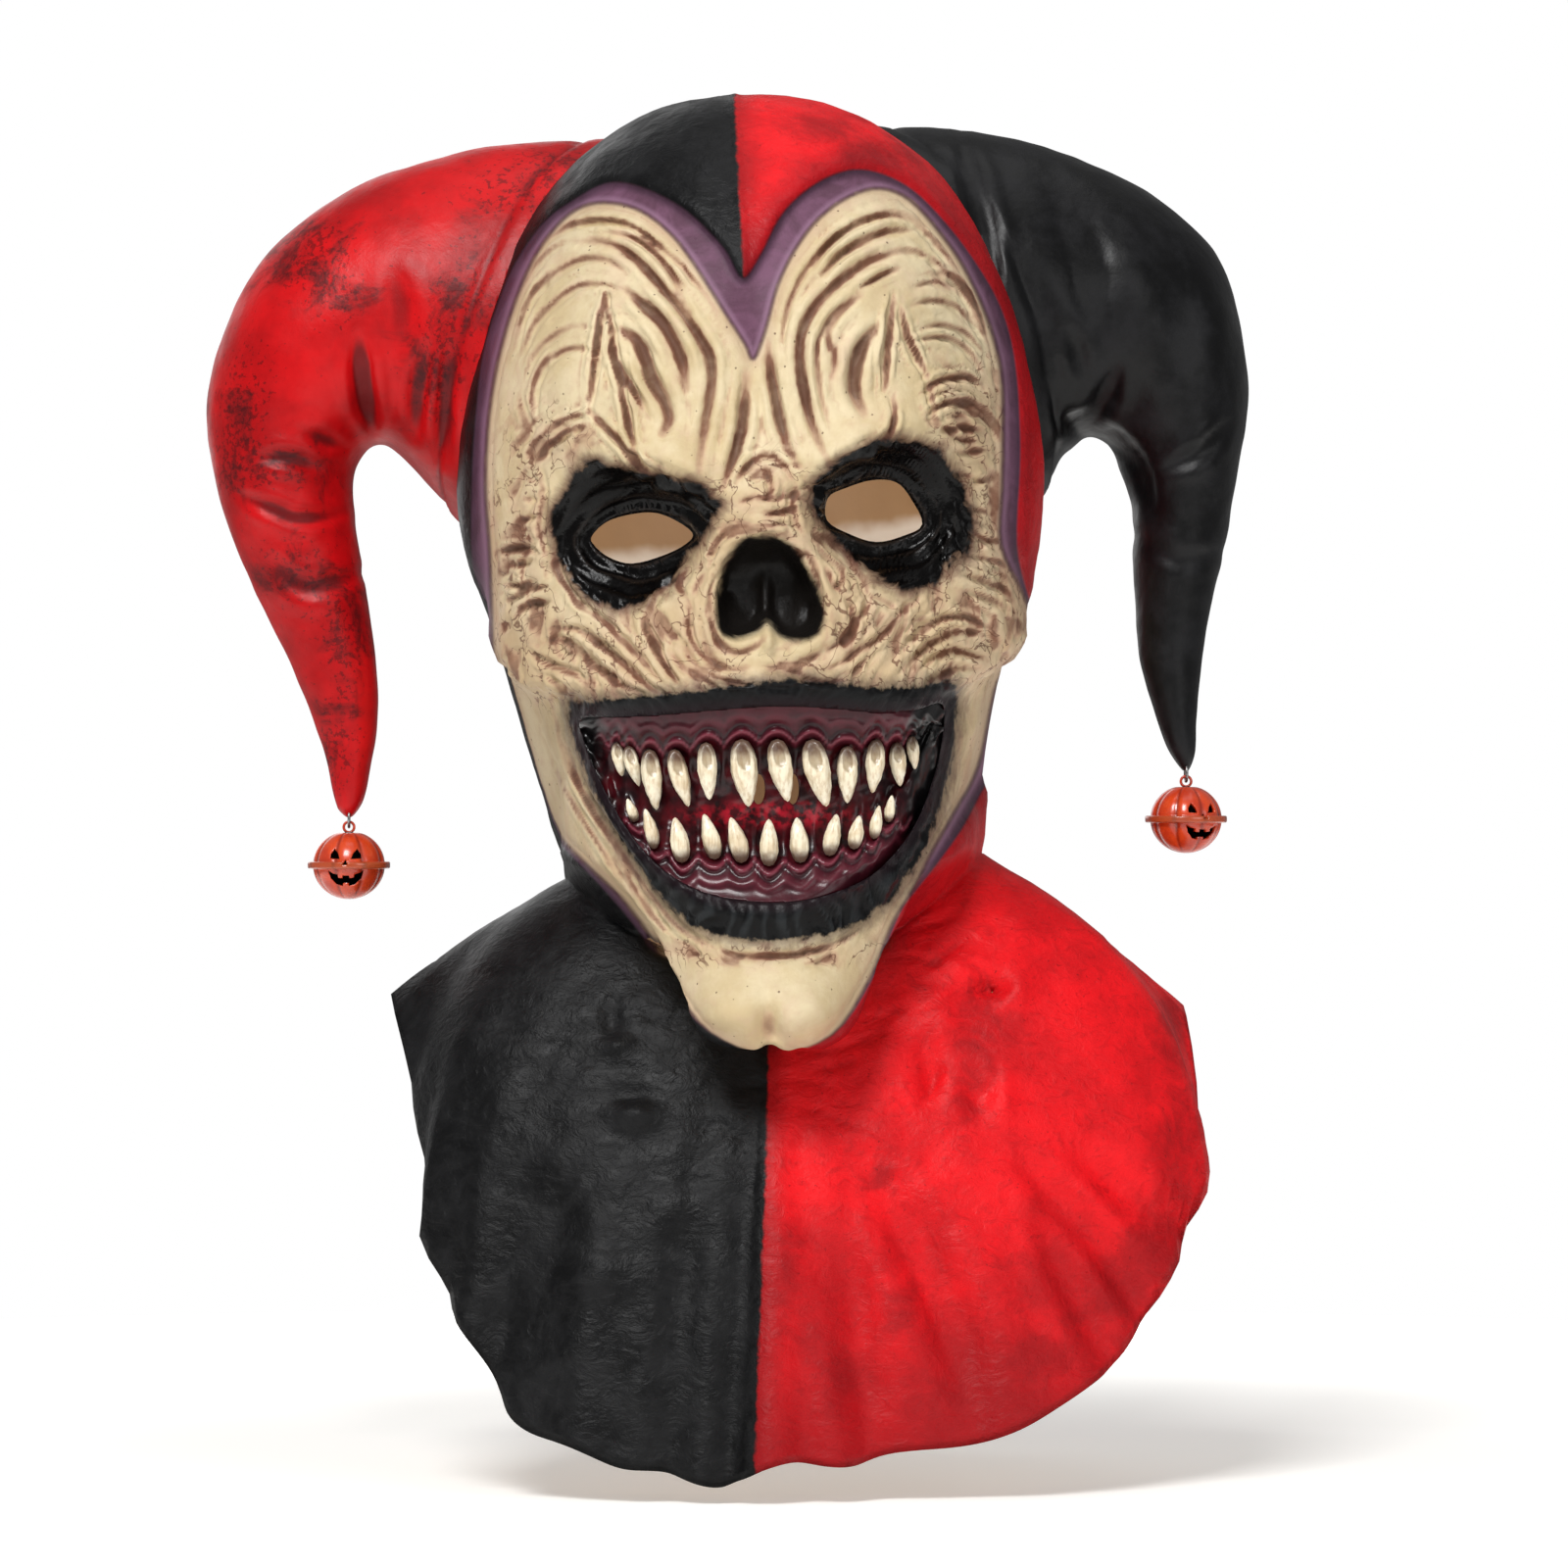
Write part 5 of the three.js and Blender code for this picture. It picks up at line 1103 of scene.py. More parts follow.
HORN_BLACK_CREASES = [
    (3.0, 1.6, [(80, 190), (144, 400), (160, 640)]),
    (3.0, 1.4, [(370, 930), (480, 990), (610, 1090)]),
    (2.4, 1.3, [(512, 930), (640, 1090), (690, 1250)]),
    (3.5, 1.2, [(320, 540), (370, 740), (340, 960)]),
    (2.6, 1.5, [(64, 32), (112, 211), (154, 339), (180, 480)]),
    (2.4, 1.5, [(416, 646), (440, 710), (458, 790)]),
    (2.6, 1.7, [(579, 790), (514, 918), (434, 968)]),
    (2.2, 1.2, [(739, 1114), (867, 1050), (931, 966)]),
    (6.0, 1.4, [(354, 178), (482, 419), (514, 661)]),
    (5.0, 1.0, [(700, 330), (780, 520), (800, 760)]),
    (2.4, 0.5, [(610, 1310), (770, 1410), (930, 1380)]),
]


def hood_gap(points):
    """How far points in mm stand off the plain hood, about square to it."""
    x, y, z = points.T
    turn = np.arctan2(x, -y)
    low, level, high = [section_radius(turn, *read_table(HEAD, -z + step).T) for step in (1, 0, -1)]
    return (np.hypot(x - lean_at(z, turn), y) - level) / np.hypot(1, (high - low) / 2)


def horn_surface(sections, places, end, shrink):
    """Points of a horn: places run round it from -1 to 1, and along it from its root, 0, to its last section, 1."""
    turn, along = math.pi * places[:, 0], np.clip(places[:, 1], 0, 1)
    outer_x, outer_z, inner_x, inner_z, y, deep = read_table(sections, along * end).T
    middle = np.stack([(outer_x + inner_x) / 2, y, (outer_z + inner_z) / 2], axis=1)
    out = np.stack([outer_x, y, outer_z], axis=1) - middle
    half = np.linalg.norm(out, axis=1)
    rounding = np.maximum(0, 1 - np.maximum(0, (along - 0.95) / 0.05) ** 2.2) ** 0.6
    rounding[along < 1e-6] = 0
    span = ((half - shrink) * rounding * np.cos(turn) / half)[:, None] * out
    span[:, 1] += (deep - shrink) * rounding * np.sin(turn)
    return middle + span, middle


def horn_tube(name, sections, sides, rings, end, shrink, creases, drawing, *materials):
    bm = bmesh.new()
    bmesh.ops.create_grid(bm, x_segments=sides, y_segments=rings, size=1)
    places = grid_places(bm)
    points, middle = horn_surface(sections, places, end, shrink)
    inner = np.clip(places, (-2, 0.004), (2, 0.98))
    normals = surface_normals(lambda at: horn_surface(sections, at, end, shrink)[0], inner)
    normals *= np.sign(np.sum(normals * (points - middle), axis=1))[:, None]
    crease = cut_depth(on_sheet(points), creases, drawing) * smoothstep(places[:, 1], 0, 0.1)
    if shrink == 0:
        # The seam at the grid's two edges meets because the lumps there are read at the same places in space
        rise = 0.9 * lumps(points, 26, 7.7) + 0.22 * lumps(points, 7, 2.9)
        gap = hood_gap(points)
        welt = 1 - smoothstep(gap, HORN_WELT["fall"], HORN_WELT["end"])
        welt = HORN_WELT["height"] * (welt - np.exp(-(((gap - HORN_WELT["end"]) / 1.2) ** 2)))
        rise = (rise * (1 - smoothstep(places[:, 1], 0.9, 0.97)) + welt - crease) * (places[:, 1] > 0.01)
        points = points + normals * np.maximum(rise, -HORN_DEEPEST)[:, None]
    wrap(bm, points)
    bmesh.ops.recalc_face_normals(bm, faces=bm.faces)
    return new_piece(name, bm, *materials)


# Red latex: satin red in uneven clouds, with dark smudges and specks sprayed on, painted shade in the creases and a
# dark line at the glued joint
red_latex, tree, shader, coords = new_material("red_sprayed_latex")
pattern = {name: add(tree, "Attribute", {}, "Fac", attribute_name=name) for name in ("crease", "zone")}
for name, size, detail, wander in [("cloud", 40, 4, 0), ("smudge", 16, 5, 0.8), ("stipple", 4, 4, 0),
                                   ("speck", 1.8, 3, 0)]:
    pattern[name] = add(tree, "TexNoise", {"Vector": coords, "Scale": 1 / (size * MM), "Detail": detail,
                                           "Roughness": 0.68, "Distortion": wander})
for name, marks in [("smudged", "smudge"), ("specked", "speck")]:
    pattern[name] = add(tree, "Math", {0: pattern["zone"], 1: 0.16, 2: pattern[marks]}, operation="MULTIPLY_ADD")
mask = {}
for name, source, low, high, at_low, at_high in [
    ("cloud", "cloud", 0.35, 0.65, 0, 1), ("smudge", "smudged", 0.58, 0.76, 0, 1),
    ("broken", "stipple", 0.35, 0.6, 0.35, 0.85), ("speck", "specked", 0.66, 0.74, 0, 0.6),
    ("crease", "crease", 0.3, 2.0, 0, 0.75), ("rub", "smudge", 0.3, 0.7, 0.36, 0.5),
]:
    mask[name] = add(tree, "MapRange", {0: pattern[source], 1: low, 2: high, 3: at_low, 4: at_high},
                     interpolation_type="SMOOTHSTEP")
mask["smudge"] = add(tree, "Math", {0: mask["smudge"], 1: mask["broken"]}, operation="MULTIPLY")
colour = linear("c60b11")
# The crease colour is painted shade in the horn's creases, with a dark line along the glued joint
for share, paint in [("cloud", "9c080d"), ("smudge", "470b0e"), ("speck", "38070b"), ("crease", "30060a")]:
    colour = add(tree, "Mix", {0: mask[share], 6: colour, 7: linear(paint)}, out=2, data_type="RGBA")
pitted = add(tree, "Bump", {"Strength": 0.35, "Distance": 0.0006, "Height": pattern["stipple"]})
plug(tree, shader, {"Base Color": colour, "Roughness": mask["rub"], "IOR": 1.5, "Specular IOR Level": 0.21,
                    "Normal": pitted})

# Black latex: satin black with faint grey scuffs, so that broad soft highlights show its folds
black_latex, tree, shader, coords = new_material("black_sprayed_latex")
scuff = add(tree, "TexNoise", {"Vector": coords, "Scale": 1 / (15 * MM), "Detail": 7.0, "Roughness": 0.65})
grey = add(tree, "MapRange", {0: scuff, 1: 0.4, 2: 0.72}, interpolation_type="SMOOTHSTEP")
colour = add(tree, "Mix", {0: grey, 6: linear("0a0a0b"), 7: linear("18181a")}, out=2, data_type="RGBA")
rub = add(tree, "MapRange", {0: scuff, 1: 0.3, 2: 0.7, 3: 0.32, 4: 0.5})
stipple = add(tree, "TexNoise", {"Vector": coords, "Scale": 1 / (4 * MM), "Detail": 4.0})
pitted = add(tree, "Bump", {"Strength": 0.35, "Distance": 0.0006, "Height": stipple})
plug(tree, shader, {"Base Color": colour, "Roughness": rub, "IOR": 1.5, "Specular IOR Level": 0.22, "Normal": pitted})

for side, sections, creases, drawing, finish in [
    ("red", HORN_RED, HORN_RED_CREASES, HORN_RED_DRAWING, red_latex),
    ("black", HORN_BLACK, HORN_BLACK_CREASES, HORN_BLACK_DRAWING, black_latex),
]:
    horn = horn_tube(f"latex_horn_{side}", sections, HORN_SIDES, HORN_RINGS, HORN_END, 0, creases, drawing, finish)
    hollow = horn_tube(f"hollow_{side}", sections, HORN_HOLLOW_SIDES, HORN_HOLLOW_RINGS, HORN_HOLLOW_END, WALL + 1,
                       creases, drawing, finish)
    shape_with(horn, "DIFFERENCE", hollow, lining(f"hood_{side}", HORN_ROOT, 0, finish))
    points = vertex_places(horn.data)
    sheet = on_sheet(points)
    root_line = 1.3 * np.exp(-(((hood_gap(points) - HORN_WELT["end"]) / 1.1) ** 2))
    write_field(horn.data, "crease", cut_depth(sheet, creases, drawing) + root_line)
    write_field(horn.data, "zone", zone_share(sheet, HORN_RED_SMUDGES))
    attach(horn, "mask")
    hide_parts(f"horn_{side}")

# The gum plate: a thin latex plate, cast with both gums and the wet red web between them, glued behind the lips.
# Scalloped folds run round the tooth roots, two breathing slots pierce the web, and its ends are painted black.
GUM = {"overlap": 8, "ends": 6, "recess": 7, "ridge": 2.6, "wall": 2.2, "back": 5.2}
GUM_COLUMNS, GUM_ROWS, GUM_EDGE = 210, 130, 0.04
# Breathing slots: x and z of the middle, width and height, and the y and half depth of the cut, in mm
SLOTS = [(-1.6, -210, 4, 9), (8.6, -210, 3.6, 9)]
SLOT_Y, SLOT_REACH = -90, 25
# Fangs: x and z of the root, length, width and how far the tip leans, in mm
UPPER_FANGS = np.array([
    (-43, -197, 10, 3.4, 1.5), (-39.5, -198, 12, 4, 3), (-33.5, -199, 18, 5.4, 2), (-26.3, -199, 17, 5.2, 4),
    (-17.3, -197, 17, 5.2, 1), (-6.9, -196, 20, 7, 2), (3.6, -196, 18.5, 6.4, 3), (14, -196, 20, 7, 4),
    (24.5, -198, 17, 5.4, 0), (33.2, -196, 16, 5, -1), (39.8, -197, 13, 4.4, 1), (44.5, -195, 10, 3.4, 1),
], float)
LOWER_FANGS = np.array([
    (-38, -219, 7, 3.4, -2), (-32.4, -227, 12, 4.2, -2.5), (-24.3, -231, 13.5, 5.8, -2), (-14.7, -230, 13.5, 5.6, -3),
    (-6.9, -231, 13.5, 5.8, -3), (1.2, -232, 14, 5.6, 0), (10.5, -231, 13.5, 5.8, -1), (19.2, -229, 12.5, 5.2, 2),
    (26.5, -227, 10, 4.6, 1.5), (32.6, -224, 10, 3.8, 1.5), (37, -219, 8, 3.2, 1),
], float)


def face_y(x, z):
    half, front = read_table(HEAD, -z)[:, :2].T
    across = np.minimum(0.98, np.abs((x - lean_at(z, 0 * z)) / half))
    bare = front * (1 - across**HEAD_POWER) ** (1 / HEAD_POWER)
    return -bare - face_relief(x, z) * (1 - across**4)


def gum_y(x, z):
    """The gum's front: its edge lies behind the lips and its middle is set back."""
    across = np.minimum(1, np.abs(x - MOUTH["x"]) / (MOUTH["half"] + 5))
    down = (mouth_top(x) - z) / np.maximum(1, mouth_top(x) - mouth_bottom(x))
    middle = np.clip(1 - (2 * down - 1) ** 2, 0, 1) * (1 - across**4)
    ridges = np.exp(-(((down - 0.14) / 0.1) ** 2)) + np.exp(-(((down - 0.86) / 0.1) ** 2))
    back = GUM["back"] + 2.5 * across**4
    return face_y(x, z) + back + GUM["recess"] * middle - GUM["ridge"] * ridges * (1 - across**4)


def above_roots(points, fangs, way):
    """Height in mm over a row of roots, and the arch round each root, from -1 between two roots to 1 at one."""
    x = points[:, 0]
    count = np.interp(x, fangs[:, 0], np.arange(len(fangs)))
    count = count + np.minimum(0, x - fangs[0, 0]) / 5 + np.maximum(0, x - fangs[-1, 0]) / 5
    edge = np.interp(x, fangs[:, 0], fangs[:, 1])
    return way * (points[:, 2] - edge), 2 * np.abs(np.cos(math.pi * count)) ** 0.8 - 1


def gum_detail(points):
    """Rise in mm of the gum's folds and its web, and the share of gum, from 0 in the web to 1."""
    rise, gum = np.zeros(len(points)), np.zeros(len(points))
    waver = 0.7 * lumps(points, 6, 3.3)
    for fangs, way in ((UPPER_FANGS, 1), (LOWER_FANGS, -1)):
        height, root = above_roots(points, fangs, way)
        collar = height - 2.0 * root + 0.3 * waver
        upper = height - 1.1 * root + waver
        here = smoothstep(collar, -1.6, 0.4)
        rise += here * 1.4 * np.exp(-(((collar - 1.0) / 0.9) ** 2))
        rise -= here * 0.5 * np.exp(-(((collar - 3.2) / 0.9) ** 2))
        rise += here * 0.7 * np.exp(-(((upper - 6.2 + waver) / 1.5) ** 2))
        gum += here
        rise -= 0.9 * root * np.exp(-(((height + 6) / 5) ** 2)) * (1 - here)
    web = 1 - np.clip(gum, 0, 1)
    rise += web * (0.8 * lumps(points * (1, 1, 0.4), 4.2, 4.4) + 0.3 * lumps(points, 2.2, 8.1))
    return rise, np.clip(gum, 0, 1)


def keep_largest(made):
    """Removes the loose chips that a trim leaves beside a piece."""
    bm = bmesh.new()
    bm.from_mesh(made.data)
    left, largest = set(bm.verts), set()
    while left:
        island, front = set(), [next(iter(left))]
        while front:
            vert = front.pop()
            if vert not in island:
                island.add(vert)
                front.extend(edge.other_vert(vert) for edge in vert.link_edges)
        left -= island
        largest = max(largest, island, key=len)
    bmesh.ops.delete(bm, geom=[vert for vert in bm.verts if vert not in largest], context="VERTS")
    bm.to_mesh(made.data)
    bm.free()


# Glossy gum paint: wet looking burgundy with a paler mauve on the folds as a painted highlight, painted shade in the
# hollows, and a clear red in the web
gum_paint, tree, shader, coords = new_material("varnished_gum_latex")
pattern = {"mottle": add(tree, "TexNoise", {"Vector": coords, "Scale": 1 / (5 * MM), "Detail": 5.0}),
           "vein": add(tree, "TexNoise", {"Vector": coords, "Scale": 1 / (2.2 * MM), "Detail": 4.0})}
for name in ("rise", "gum", "end", "blood"):
    pattern[name] = add(tree, "Attribute", {}, "Fac", attribute_name=name)
mask = {}
for name, source, low, high, at_low, at_high in [
    ("fold", "rise", 0.2, 1.5, 0, 0.8), ("hollow", "rise", 0.1, -0.5, 0, 0.8),
    ("mottle", "mottle", 0.35, 0.65, 0, 1), ("patch", "vein", 0.38, 0.62, 0, 1),
    ("blood", "blood", 0.2, 0.9, 0, 0.9), ("gum", "gum", 0.2, 0.8, 0, 1), ("end", "end", -1.0, 4.0, 1, 0),
]:
    mask[name] = add(tree, "MapRange", {0: pattern[source], 1: low, 2: high, 3: at_low, 4: at_high},
                     interpolation_type="SMOOTHSTEP")
mask["blood"] = add(tree, "Math", {0: mask["patch"], 1: mask["blood"]}, operation="MULTIPLY")
coats = {"gum": linear("4c1722"), "web": linear("1c0206")}
for base, share, paint in [
    # The paler folds are a painted highlight and the darker hollows painted shade
    ("gum", "mottle", "3a1019"), ("gum", "fold", "7c3240"), ("gum", "hollow", "1c070d"), ("web", "mottle", "45060f"),
    ("web", "blood", "b00f26"), ("web", "gum", "gum"), ("web", "end", "0a0809"),
]:
    above = coats[paint] if paint in coats else linear(paint)
    coats[base] = add(tree, "Mix", {0: mask[share], 6: coats[base], 7: above}, out=2, data_type="RGBA")
veined = add(tree, "Bump", {"Strength": 0.25, "Distance": 0.0004, "Height": pattern["vein"]})
plug(tree, shader, {"Base Color": coats["web"], "Roughness": 0.3, "IOR": 1.45, "Specular IOR Level": 0.3,
                    "Coat Weight": 0.1, "Coat Roughness": 0.12, "Normal": veined})

bm = bmesh.new()
bmesh.ops.create_grid(bm, x_segments=GUM_COLUMNS, y_segments=GUM_ROWS, size=1)
places = grid_places(bm)
across = GUM_EDGE + (1 - 2 * GUM_EDGE) * (places[:, 0] + 1) / 2
x = MOUTH["x"] - (MOUTH["half"] + GUM["overlap"] + GUM["ends"]) * np.cos(math.pi * across)
top = mouth_top(x) + GUM["overlap"]
drawn_in = MOUTH["x"] + 0.8 * (x - MOUTH["x"])
bottom = np.minimum(mouth_bottom(drawn_in), mouth_top(x) - GUM["overlap"]) - GUM["overlap"]
z = top + (bottom - top) * places[:, 1]
points = np.stack([x, gum_y(x, z), z], axis=1)
rise, _ = gum_detail(points)
inside = smoothstep(np.minimum(places[:, 1], 1 - places[:, 1]), 0.02, 0.1)
points[:, 1] -= rise * inside
set_points(bm, points)
moved = bmesh.ops.extrude_face_region(bm, geom=bm.faces[:], use_keep_orig=True)
backs = [item for item in moved["geom"] if isinstance(item, bmesh.types.BMVert)]
bmesh.ops.translate(bm, verts=backs, vec=(0, GUM["wall"] * MM, 0))
bmesh.ops.recalc_face_normals(bm, faces=bm.faces)
gum_plate = new_piece("gum_casting", bm, gum_paint)
slots = []
for x, z, wide, high in SLOTS:
    bm = bmesh.new()
    bmesh.ops.create_uvsphere(bm, u_segments=24, v_segments=16, radius=1)
    bmesh.ops.scale(bm, verts=bm.verts, vec=Vector((wide / 2, SLOT_REACH, high / 2)) * MM)
    bmesh.ops.translate(bm, verts=bm.verts, vec=Vector((x, SLOT_Y, z)) * MM)
    slots.append(new_piece(f"slot_{len(slots)}", bm, gum_paint))
shape_with(gum_plate, "DIFFERENCE", *slots)
room = lining("mouth_room", 0.3, 1, gum_paint)
shape_with(room, "UNION", sheet_cutter("mouth_way", drawn(MOUTH_DRAWING, MOUTH_HOLE), gum_paint))
shape_with(gum_plate, "INTERSECT", room)
keep_largest(gum_plate)
points = vertex_places(gum_plate.data)
rise, gum = gum_detail(points)
write_field(gum_plate.data, "rise", rise)
write_field(gum_plate.data, "gum", gum)
write_field(gum_plate.data, "end", MOUTH["half"] - 6 - np.abs(points[:, 0] - MOUTH["x"]))
blood = np.exp(-(((points[:, 2] + 217.5) / 4.5) ** 2) - ((points[:, 0] - 3) / 30) ** 2)
write_field(gum_plate.data, "blood", blood)
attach(gum_plate, "mask")
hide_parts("gum_plate")

# The fangs: 23 latex teeth set in the gum plate, curved, the upper ones with a scooped front near the root.
# They are painted bone, with painted shade in the scoop and a brown wash round the root, and varnished.
FANG_STAND = 1.0
FANG_SIDES, FANG_RINGS = 28, 24
FANG_STOUT = {"upper": 1.13, "lower": 0.98}
FANG_BOW, FANG_CHIPS = 1.1, 0.22
FANG_OUTLINE = ((0, 0.04, 0.14, 0.3, 0.5, 0.72, 0.9, 0.97, 1), (0, 0.5, 0.8, 0.97, 0.98, 0.74, 0.4, 0.22, 0))

# Varnished bone paint: ivory at the tip, brown at the root and in the scoop, with fine streaks down the tooth
tooth_paint, tree, shader, coords = new_material("varnished_tooth_latex")
long_way = add(tree, "Mapping", {"Vector": coords, "Scale": (1, 1, 0.16)})
pattern = {"streak": add(tree, "TexNoise", {"Vector": long_way, "Scale": 1 / (0.9 * MM), "Detail": 4.0}),
           "stain": add(tree, "TexNoise", {"Vector": coords, "Scale": 1 / (4 * MM), "Detail": 4.0})}
for name in ("share", "scoop"):
    pattern[name] = add(tree, "Attribute", {}, "Fac", attribute_name=name)
pattern["stained"] = add(tree, "Math", {0: pattern["stain"], 1: -0.3, 2: pattern["share"]}, operation="MULTIPLY_ADD")
pattern["stained"] = add(tree, "Math", {0: pattern["stained"], 1: 0.15}, operation="ADD")
mask = {}
for name, source, low, high, at_low, at_high in [
    ("streak", "streak", 0.42, 0.7, 0, 0.55), ("stain", "stain", 0.45, 0.7, 0, 0.45),
    ("scoop", "scoop", 0.25, 0.9, 0, 0.7), ("root", "stained", 0.36, 0.1, 0, 0.9),
    ("tip", "share", 0.5, 0.95, 0, 0.7),
]:
    mask[name] = add(tree, "MapRange", {0: pattern[source], 1: low, 2: high, 3: at_low, 4: at_high},
                     interpolation_type="SMOOTHSTEP")
colour = linear("ece1c6")
# The scoop's brown is painted shade in the hollow facet
for share, paint in [("tip", "f3ecd8"), ("stain", "c8ab7e"), ("streak", "b3936a"), ("scoop", "8f7858"),
                     ("root", "4a2a20")]:
    colour = add(tree, "Mix", {0: mask[share], 6: colour, 7: linear(paint)}, out=2, data_type="RGBA")
grooved = add(tree, "Bump", {"Strength": 0.3, "Distance": 0.0003, "Height": pattern["streak"]})
plug(tree, shader, {"Base Color": colour, "Roughness": 0.28, "IOR": 1.5, "Normal": grooved})

for jaw, fangs, way in (("upper", UPPER_FANGS, -1), ("lower", LOWER_FANGS, 1)):
    roots = gum_y(fangs[:, 0], fangs[:, 1])
    for number, ((x, z, long, wide, lean), root_y) in enumerate(zip(fangs, roots), 1):
        bm = bmesh.new()
        bmesh.ops.create_uvsphere(bm, u_segments=FANG_SIDES, v_segments=FANG_RINGS, radius=1)
        ball = np.array([vert.co for vert in bm.verts])
        share = (1 - ball[:, 2]) / 2
        turn = np.arctan2(ball[:, 1], ball[:, 0])
        radius = wide / 2 * FANG_STOUT[jaw] * np.interp(share, *FANG_OUTLINE) * (1 + 0.04 * np.cos(7 * turn + x))
        radius[share < 1e-6] = 0
        front = np.maximum(0, -np.sin(turn))
        scoop = smoothstep(1.1 - ((share - 0.27) / 0.2) ** 2 - (np.cos(turn) / 0.6) ** 2, 0, 0.5)
        scoop = scoop * (np.sin(turn) < 0) * (way < 0)
        bow = FANG_BOW * np.sin(math.pi * share)
        place = np.stack([
            x + radius * np.cos(turn) + lean * share**1.5,
            root_y - FANG_STAND + 0.85 * radius * np.sin(turn) - bow + 0.42 * radius * front * scoop,
            z + way * long * share - way * 0.8,
        ], axis=1)
        chips = FANG_CHIPS * lumps(place, 2.2, 5.5) * smoothstep(share, 0.1, 0.4) * smoothstep(1 - share, 0, 0.1)
        place += chips[:, None] * np.stack([np.cos(turn), np.sin(turn), 0 * turn], axis=1)
        set_points(bm, place)
        bmesh.ops.recalc_face_normals(bm, faces=bm.faces)
        tooth = new_piece(f"{jaw}_tooth_{number:02d}", bm, tooth_paint)
        write_field(tooth.data, "share", share)
        write_field(tooth.data, "scoop", scoop)
        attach(tooth, "mask")
        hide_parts(f"{jaw}_fang_{number:02d}")

# The rings: drawn steel wire bent round through each horn's tip, from which a bell hangs.
# The ends of the wire meet where the horn hides them.
RING = {"radius": 2.7, "wire": 0.45}
RING_PLACES = {"red": (-122.5, 9, -219), "black": (135, 9, -205)}

# Drawn steel wire: bright, with dull tarnish in patches
steel_wire, tree, shader, coords = new_material("drawn_steel_wire")
tarnish = add(tree, "TexNoise", {"Vector": coords, "Scale": 1 / (1.5 * MM), "Detail": 4.0})
colour = add(tree, "Mix", {0: tarnish, 6: linear("b0b0b2"), 7: linear("67645f")}, out=2, data_type="RGBA")
dull = add(tree, "MapRange", {0: tarnish, 1: 0.3, 2: 0.7, 3: 0.22, 4: 0.45})
plug(tree, shader, {"Base Color": colour, "Roughness": dull, "Metallic": 1.0})


def wire_loop(bm, middle, radius, wire, axis, steps):
    """Adds a closed loop of round wire, in mm, round an axis that is level."""
    made = bmesh.ops.create_circle(bm, segments=12, radius=wire * MM)
    spun = made["verts"]
    upright = Matrix.Rotation(math.pi / 2, 3, "X" if axis[0] else "Y")
    bmesh.ops.rotate(bm, verts=spun, cent=(0, 0, 0), matrix=upright)
    bmesh.ops.translate(bm, verts=spun, vec=Vector(middle) * MM - Vector((0, 0, radius * MM)))
    edges = [edge for edge in bm.edges if all(vert in spun for vert in edge.verts)]
    bmesh.ops.spin(bm, geom=spun + edges, cent=Vector(middle) * MM, axis=axis, angle=2 * math.pi, steps=steps,
                   use_merge=True)
    bmesh.ops.remove_doubles(bm, verts=bm.verts, dist=1e-6)
    bmesh.ops.recalc_face_normals(bm, faces=bm.faces)


for side, middle in RING_PLACES.items():
    bm = bmesh.new()
    wire_loop(bm, middle, RING["radius"], RING["wire"], (1, 0, 0), 48)
    ring = new_piece(f"hanging_ring_{side}", bm, steel_wire)
    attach(ring, "mask")
    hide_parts(f"wire_ring_{side}")

# The bells: two pressed steel jingle bells shaped as ribbed pumpkins, their halves crimped in a flange.
# A grinning face is pierced through the front, and a wire eye on top hangs on the horn's ring.
BELL = {"radius": 11, "squash": 0.95, "wall": 0.8, "lobes": 8, "groove": 0.7, "flange": 12.6, "flange_half": 1.05,
        "dimple": 0.6, "dimple_area": 7, "crimp": 0.5}
BELL_LOOP = {"radius": 1.6, "wire": 0.42}
BELL_TURNS = {"red": -6, "black": 24}
# The pierced face, x and z in mm from the bell's middle; the left eye mirrors the right one
BELL_EYE = [(1.7, 1.9), (4.7, 2.1), (4.6, 3.4), (3.5, 5.0), (2.3, 3.7)]
BELL_NOSE = [(-0.9, 0.2), (0.9, 0.2), (0.1, 1.7)]
BELL_GRIN = [
    (-5.4, -1.5), (-3.8, -2.5), (-2.5, -2.8), (-2.3, -3.8), (-1.0, -3.9), (-0.9, -3.1), (1.1, -3.1), (1.3, -3.9),
    (2.6, -3.7), (2.7, -2.8), (3.9, -2.4), (5.4, -1.5), (4.6, -4.0), (2.8, -5.8), (0.9, -6.3), (0.8, -5.4),
    (-0.8, -5.4), (-0.9, -6.3), (-2.9, -5.8), (-4.6, -4.0),
]

# Gloss stove paint: orange red on pressed steel, with painted shade in the grooves, worn on the flange and black at
# the top
bell_paint, tree, shader, coords = new_material("gloss_stove_paint")
pattern = {"run": add(tree, "TexNoise", {"Vector": coords, "Scale": 1 / (5 * MM), "Detail": 5.0})}
for name in ("groove", "rim", "top"):
    pattern[name] = add(tree, "Attribute", {}, "Fac", attribute_name=name)
mask = {}
for name, source, low, high, at_low, at_high in [
    ("run", "run", 0.38, 0.66, 0, 0.8), ("groove", "groove", 0.25, 1.0, 0, 0.7), ("rim", "rim", 0.2, 0.9, 0, 0.6),
    ("top", "top", 0.3, 0.8, 0, 0.95), ("rough", "run", 0.3, 0.7, 0.2, 0.36),
]:
    mask[name] = add(tree, "MapRange", {0: pattern[source], 1: low, 2: high, 3: at_low, 4: at_high},
                     interpolation_type="SMOOTHSTEP")
colour = linear("d0451d")
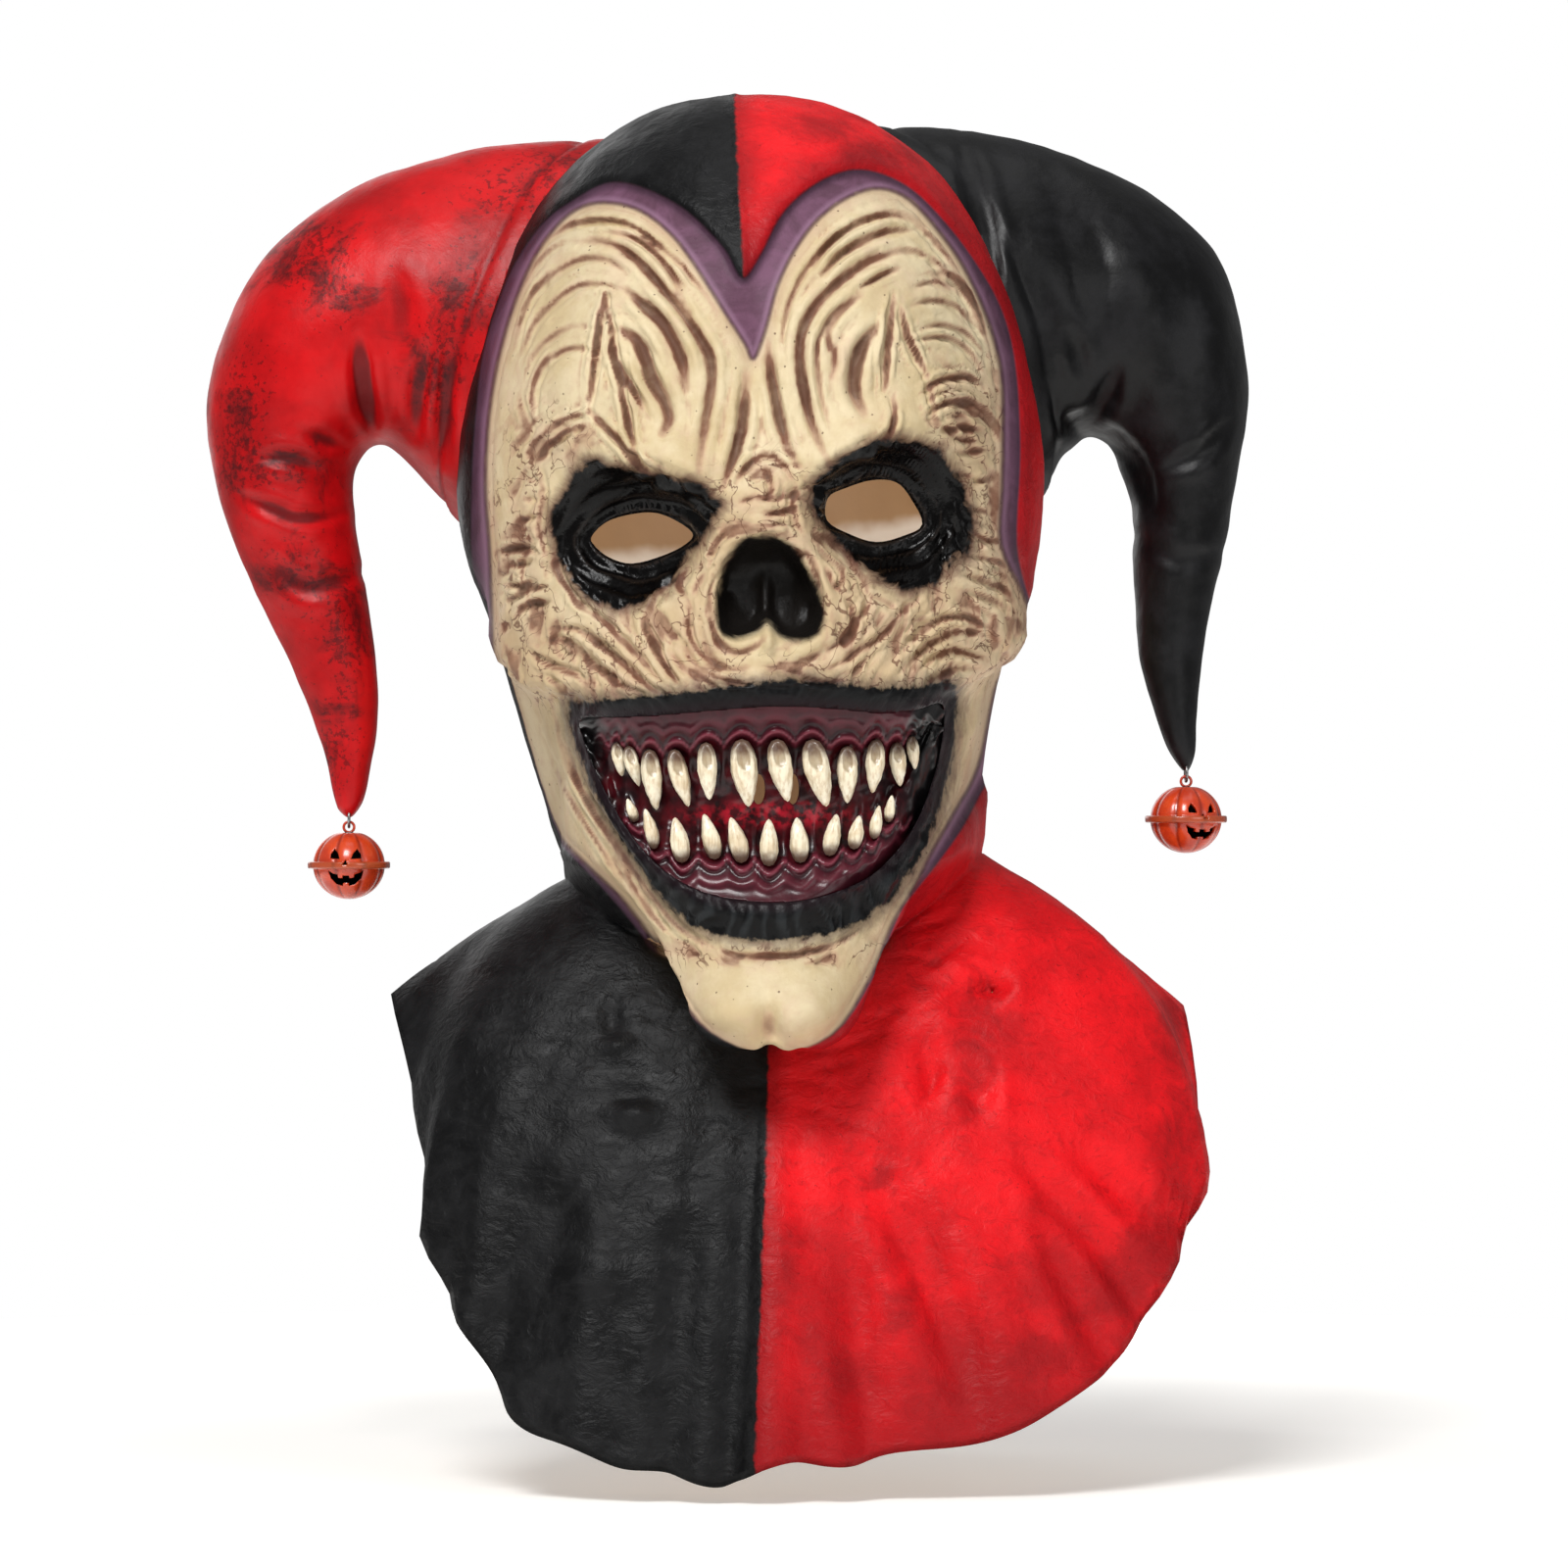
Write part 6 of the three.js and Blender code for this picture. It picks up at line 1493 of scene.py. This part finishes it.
# The darker grooves are painted shade between the lobes
for share, paint in [("run", "b53014"), ("groove", "741a0c"), ("rim", "8f4a2a"), ("top", "1c0d0a")]:
    colour = add(tree, "Mix", {0: mask[share], 6: colour, 7: linear(paint)}, out=2, data_type="RGBA")
plug(tree, shader, {"Base Color": colour, "Roughness": mask["rough"], "IOR": 1.5, "Coat Weight": 0.3,
                    "Coat Roughness": 0.1})

# Soot black inside: bare steel blackened by the stove, seen only through the pierced face
bell_inside, tree, shader, coords = new_material("blackened_steel")
scale = add(tree, "TexNoise", {"Vector": coords, "Scale": 1 / (2 * MM), "Detail": 4.0})
colour = add(tree, "Mix", {0: scale, 6: linear("0c0908"), 7: linear("231512")}, out=2, data_type="RGBA")
plug(tree, shader, {"Base Color": colour, "Roughness": 0.6})


def bell_ball(name, radius, groove, middle, *materials):
    bm = bmesh.new()
    bmesh.ops.create_uvsphere(bm, u_segments=96, v_segments=48, radius=radius)
    for vert in bm.verts:
        x, y, z = vert.co
        rib = 1 - abs(math.cos(BELL["lobes"] / 2 * math.atan2(y, x)))
        dimple = BELL["dimple"] * math.exp(-(x * x + y * y) / BELL["dimple_area"]) if groove and z > 0 else 0
        scale = 1 - groove * rib**2 / radius
        place = Vector((x * scale, y * scale, z * BELL["squash"] - dimple)) + Vector(middle)
        vert.co = place * MM
    for face in bm.faces:
        face.material_index = len(materials) - 1
    return new_piece(name, bm, *materials)


for side, (x, y, z) in RING_PLACES.items():
    loop_z = BELL["radius"] * BELL["squash"] + BELL_LOOP["radius"] - BELL_LOOP["wire"]
    middle = np.array([x, y, z - RING["radius"] - loop_z])
    bell = bell_ball(f"jingle_bell_{side}", BELL["radius"], BELL["groove"], middle, bell_paint, bell_inside)
    for face in bell.data.polygons:
        face.material_index = 0
    bm = bmesh.new()
    bmesh.ops.create_cone(bm, cap_ends=True, segments=96, radius1=BELL["flange"] * MM, radius2=BELL["flange"] * MM,
                          depth=2 * BELL["flange_half"] * MM)
    bmesh.ops.bevel(bm, geom=[edge for edge in bm.edges if len(edge.link_faces) == 2 and edge.calc_face_angle() > 1],
                    offset=BELL["crimp"] * MM, segments=3, profile=0.5, affect="EDGES", material=-1)
    bmesh.ops.translate(bm, verts=bm.verts, vec=Vector(middle) * MM)
    flange = new_piece(f"flange_{side}", bm, bell_paint, bell_inside)
    bm = bmesh.new()
    wire_loop(bm, middle + (0, 0, loop_z), BELL_LOOP["radius"], BELL_LOOP["wire"], (0, 1, 0), 32)
    loop = new_piece(f"loop_{side}", bm, bell_paint, bell_inside)
    shape_with(bell, "UNION", flange)
    turn = math.radians(BELL_TURNS[side])
    across, ahead = np.array([math.cos(turn), math.sin(turn), 0]), np.array([math.sin(turn), -math.cos(turn), 0])
    room = BELL["radius"] - BELL["wall"] - BELL["groove"]
    cutters = [bell_ball(f"hollow_{side}", room, 0, middle, bell_paint, bell_inside)]
    left_eye = [(-px, pz) for px, pz in BELL_EYE]
    for number, outline in enumerate((BELL_EYE, left_eye, BELL_NOSE, BELL_GRIN)):
        flat = middle + np.array([px * across + pz * UP for px, pz in outline])
        cutters.append(prism(f"cut_{side}_{number}", flat + ahead, flat + 14 * ahead, bell_paint, bell_inside))
    shape_with(bell, "DIFFERENCE", *cutters)
    shape_with(bell, "UNION", loop)
    away = vertex_places(bell.data) - middle
    flat_reach = np.hypot(away[:, 0], away[:, 1])
    rib = (1 - np.abs(np.cos(BELL["lobes"] / 2 * np.arctan2(away[:, 1], away[:, 0])))) ** 2
    write_field(bell.data, "groove", rib * smoothstep(flat_reach, 2, 5))
    write_field(bell.data, "rim", smoothstep(flat_reach, BELL["radius"] + 0.4, BELL["flange"] - 0.4))
    write_field(bell.data, "top", smoothstep(3.6 - flat_reach, 0, 1.4) * (away[:, 2] > 8) * (away[:, 2] < 10.2))
    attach(bell, f"{side}_bell")
    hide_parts(f"bell_{side}")

low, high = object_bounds()
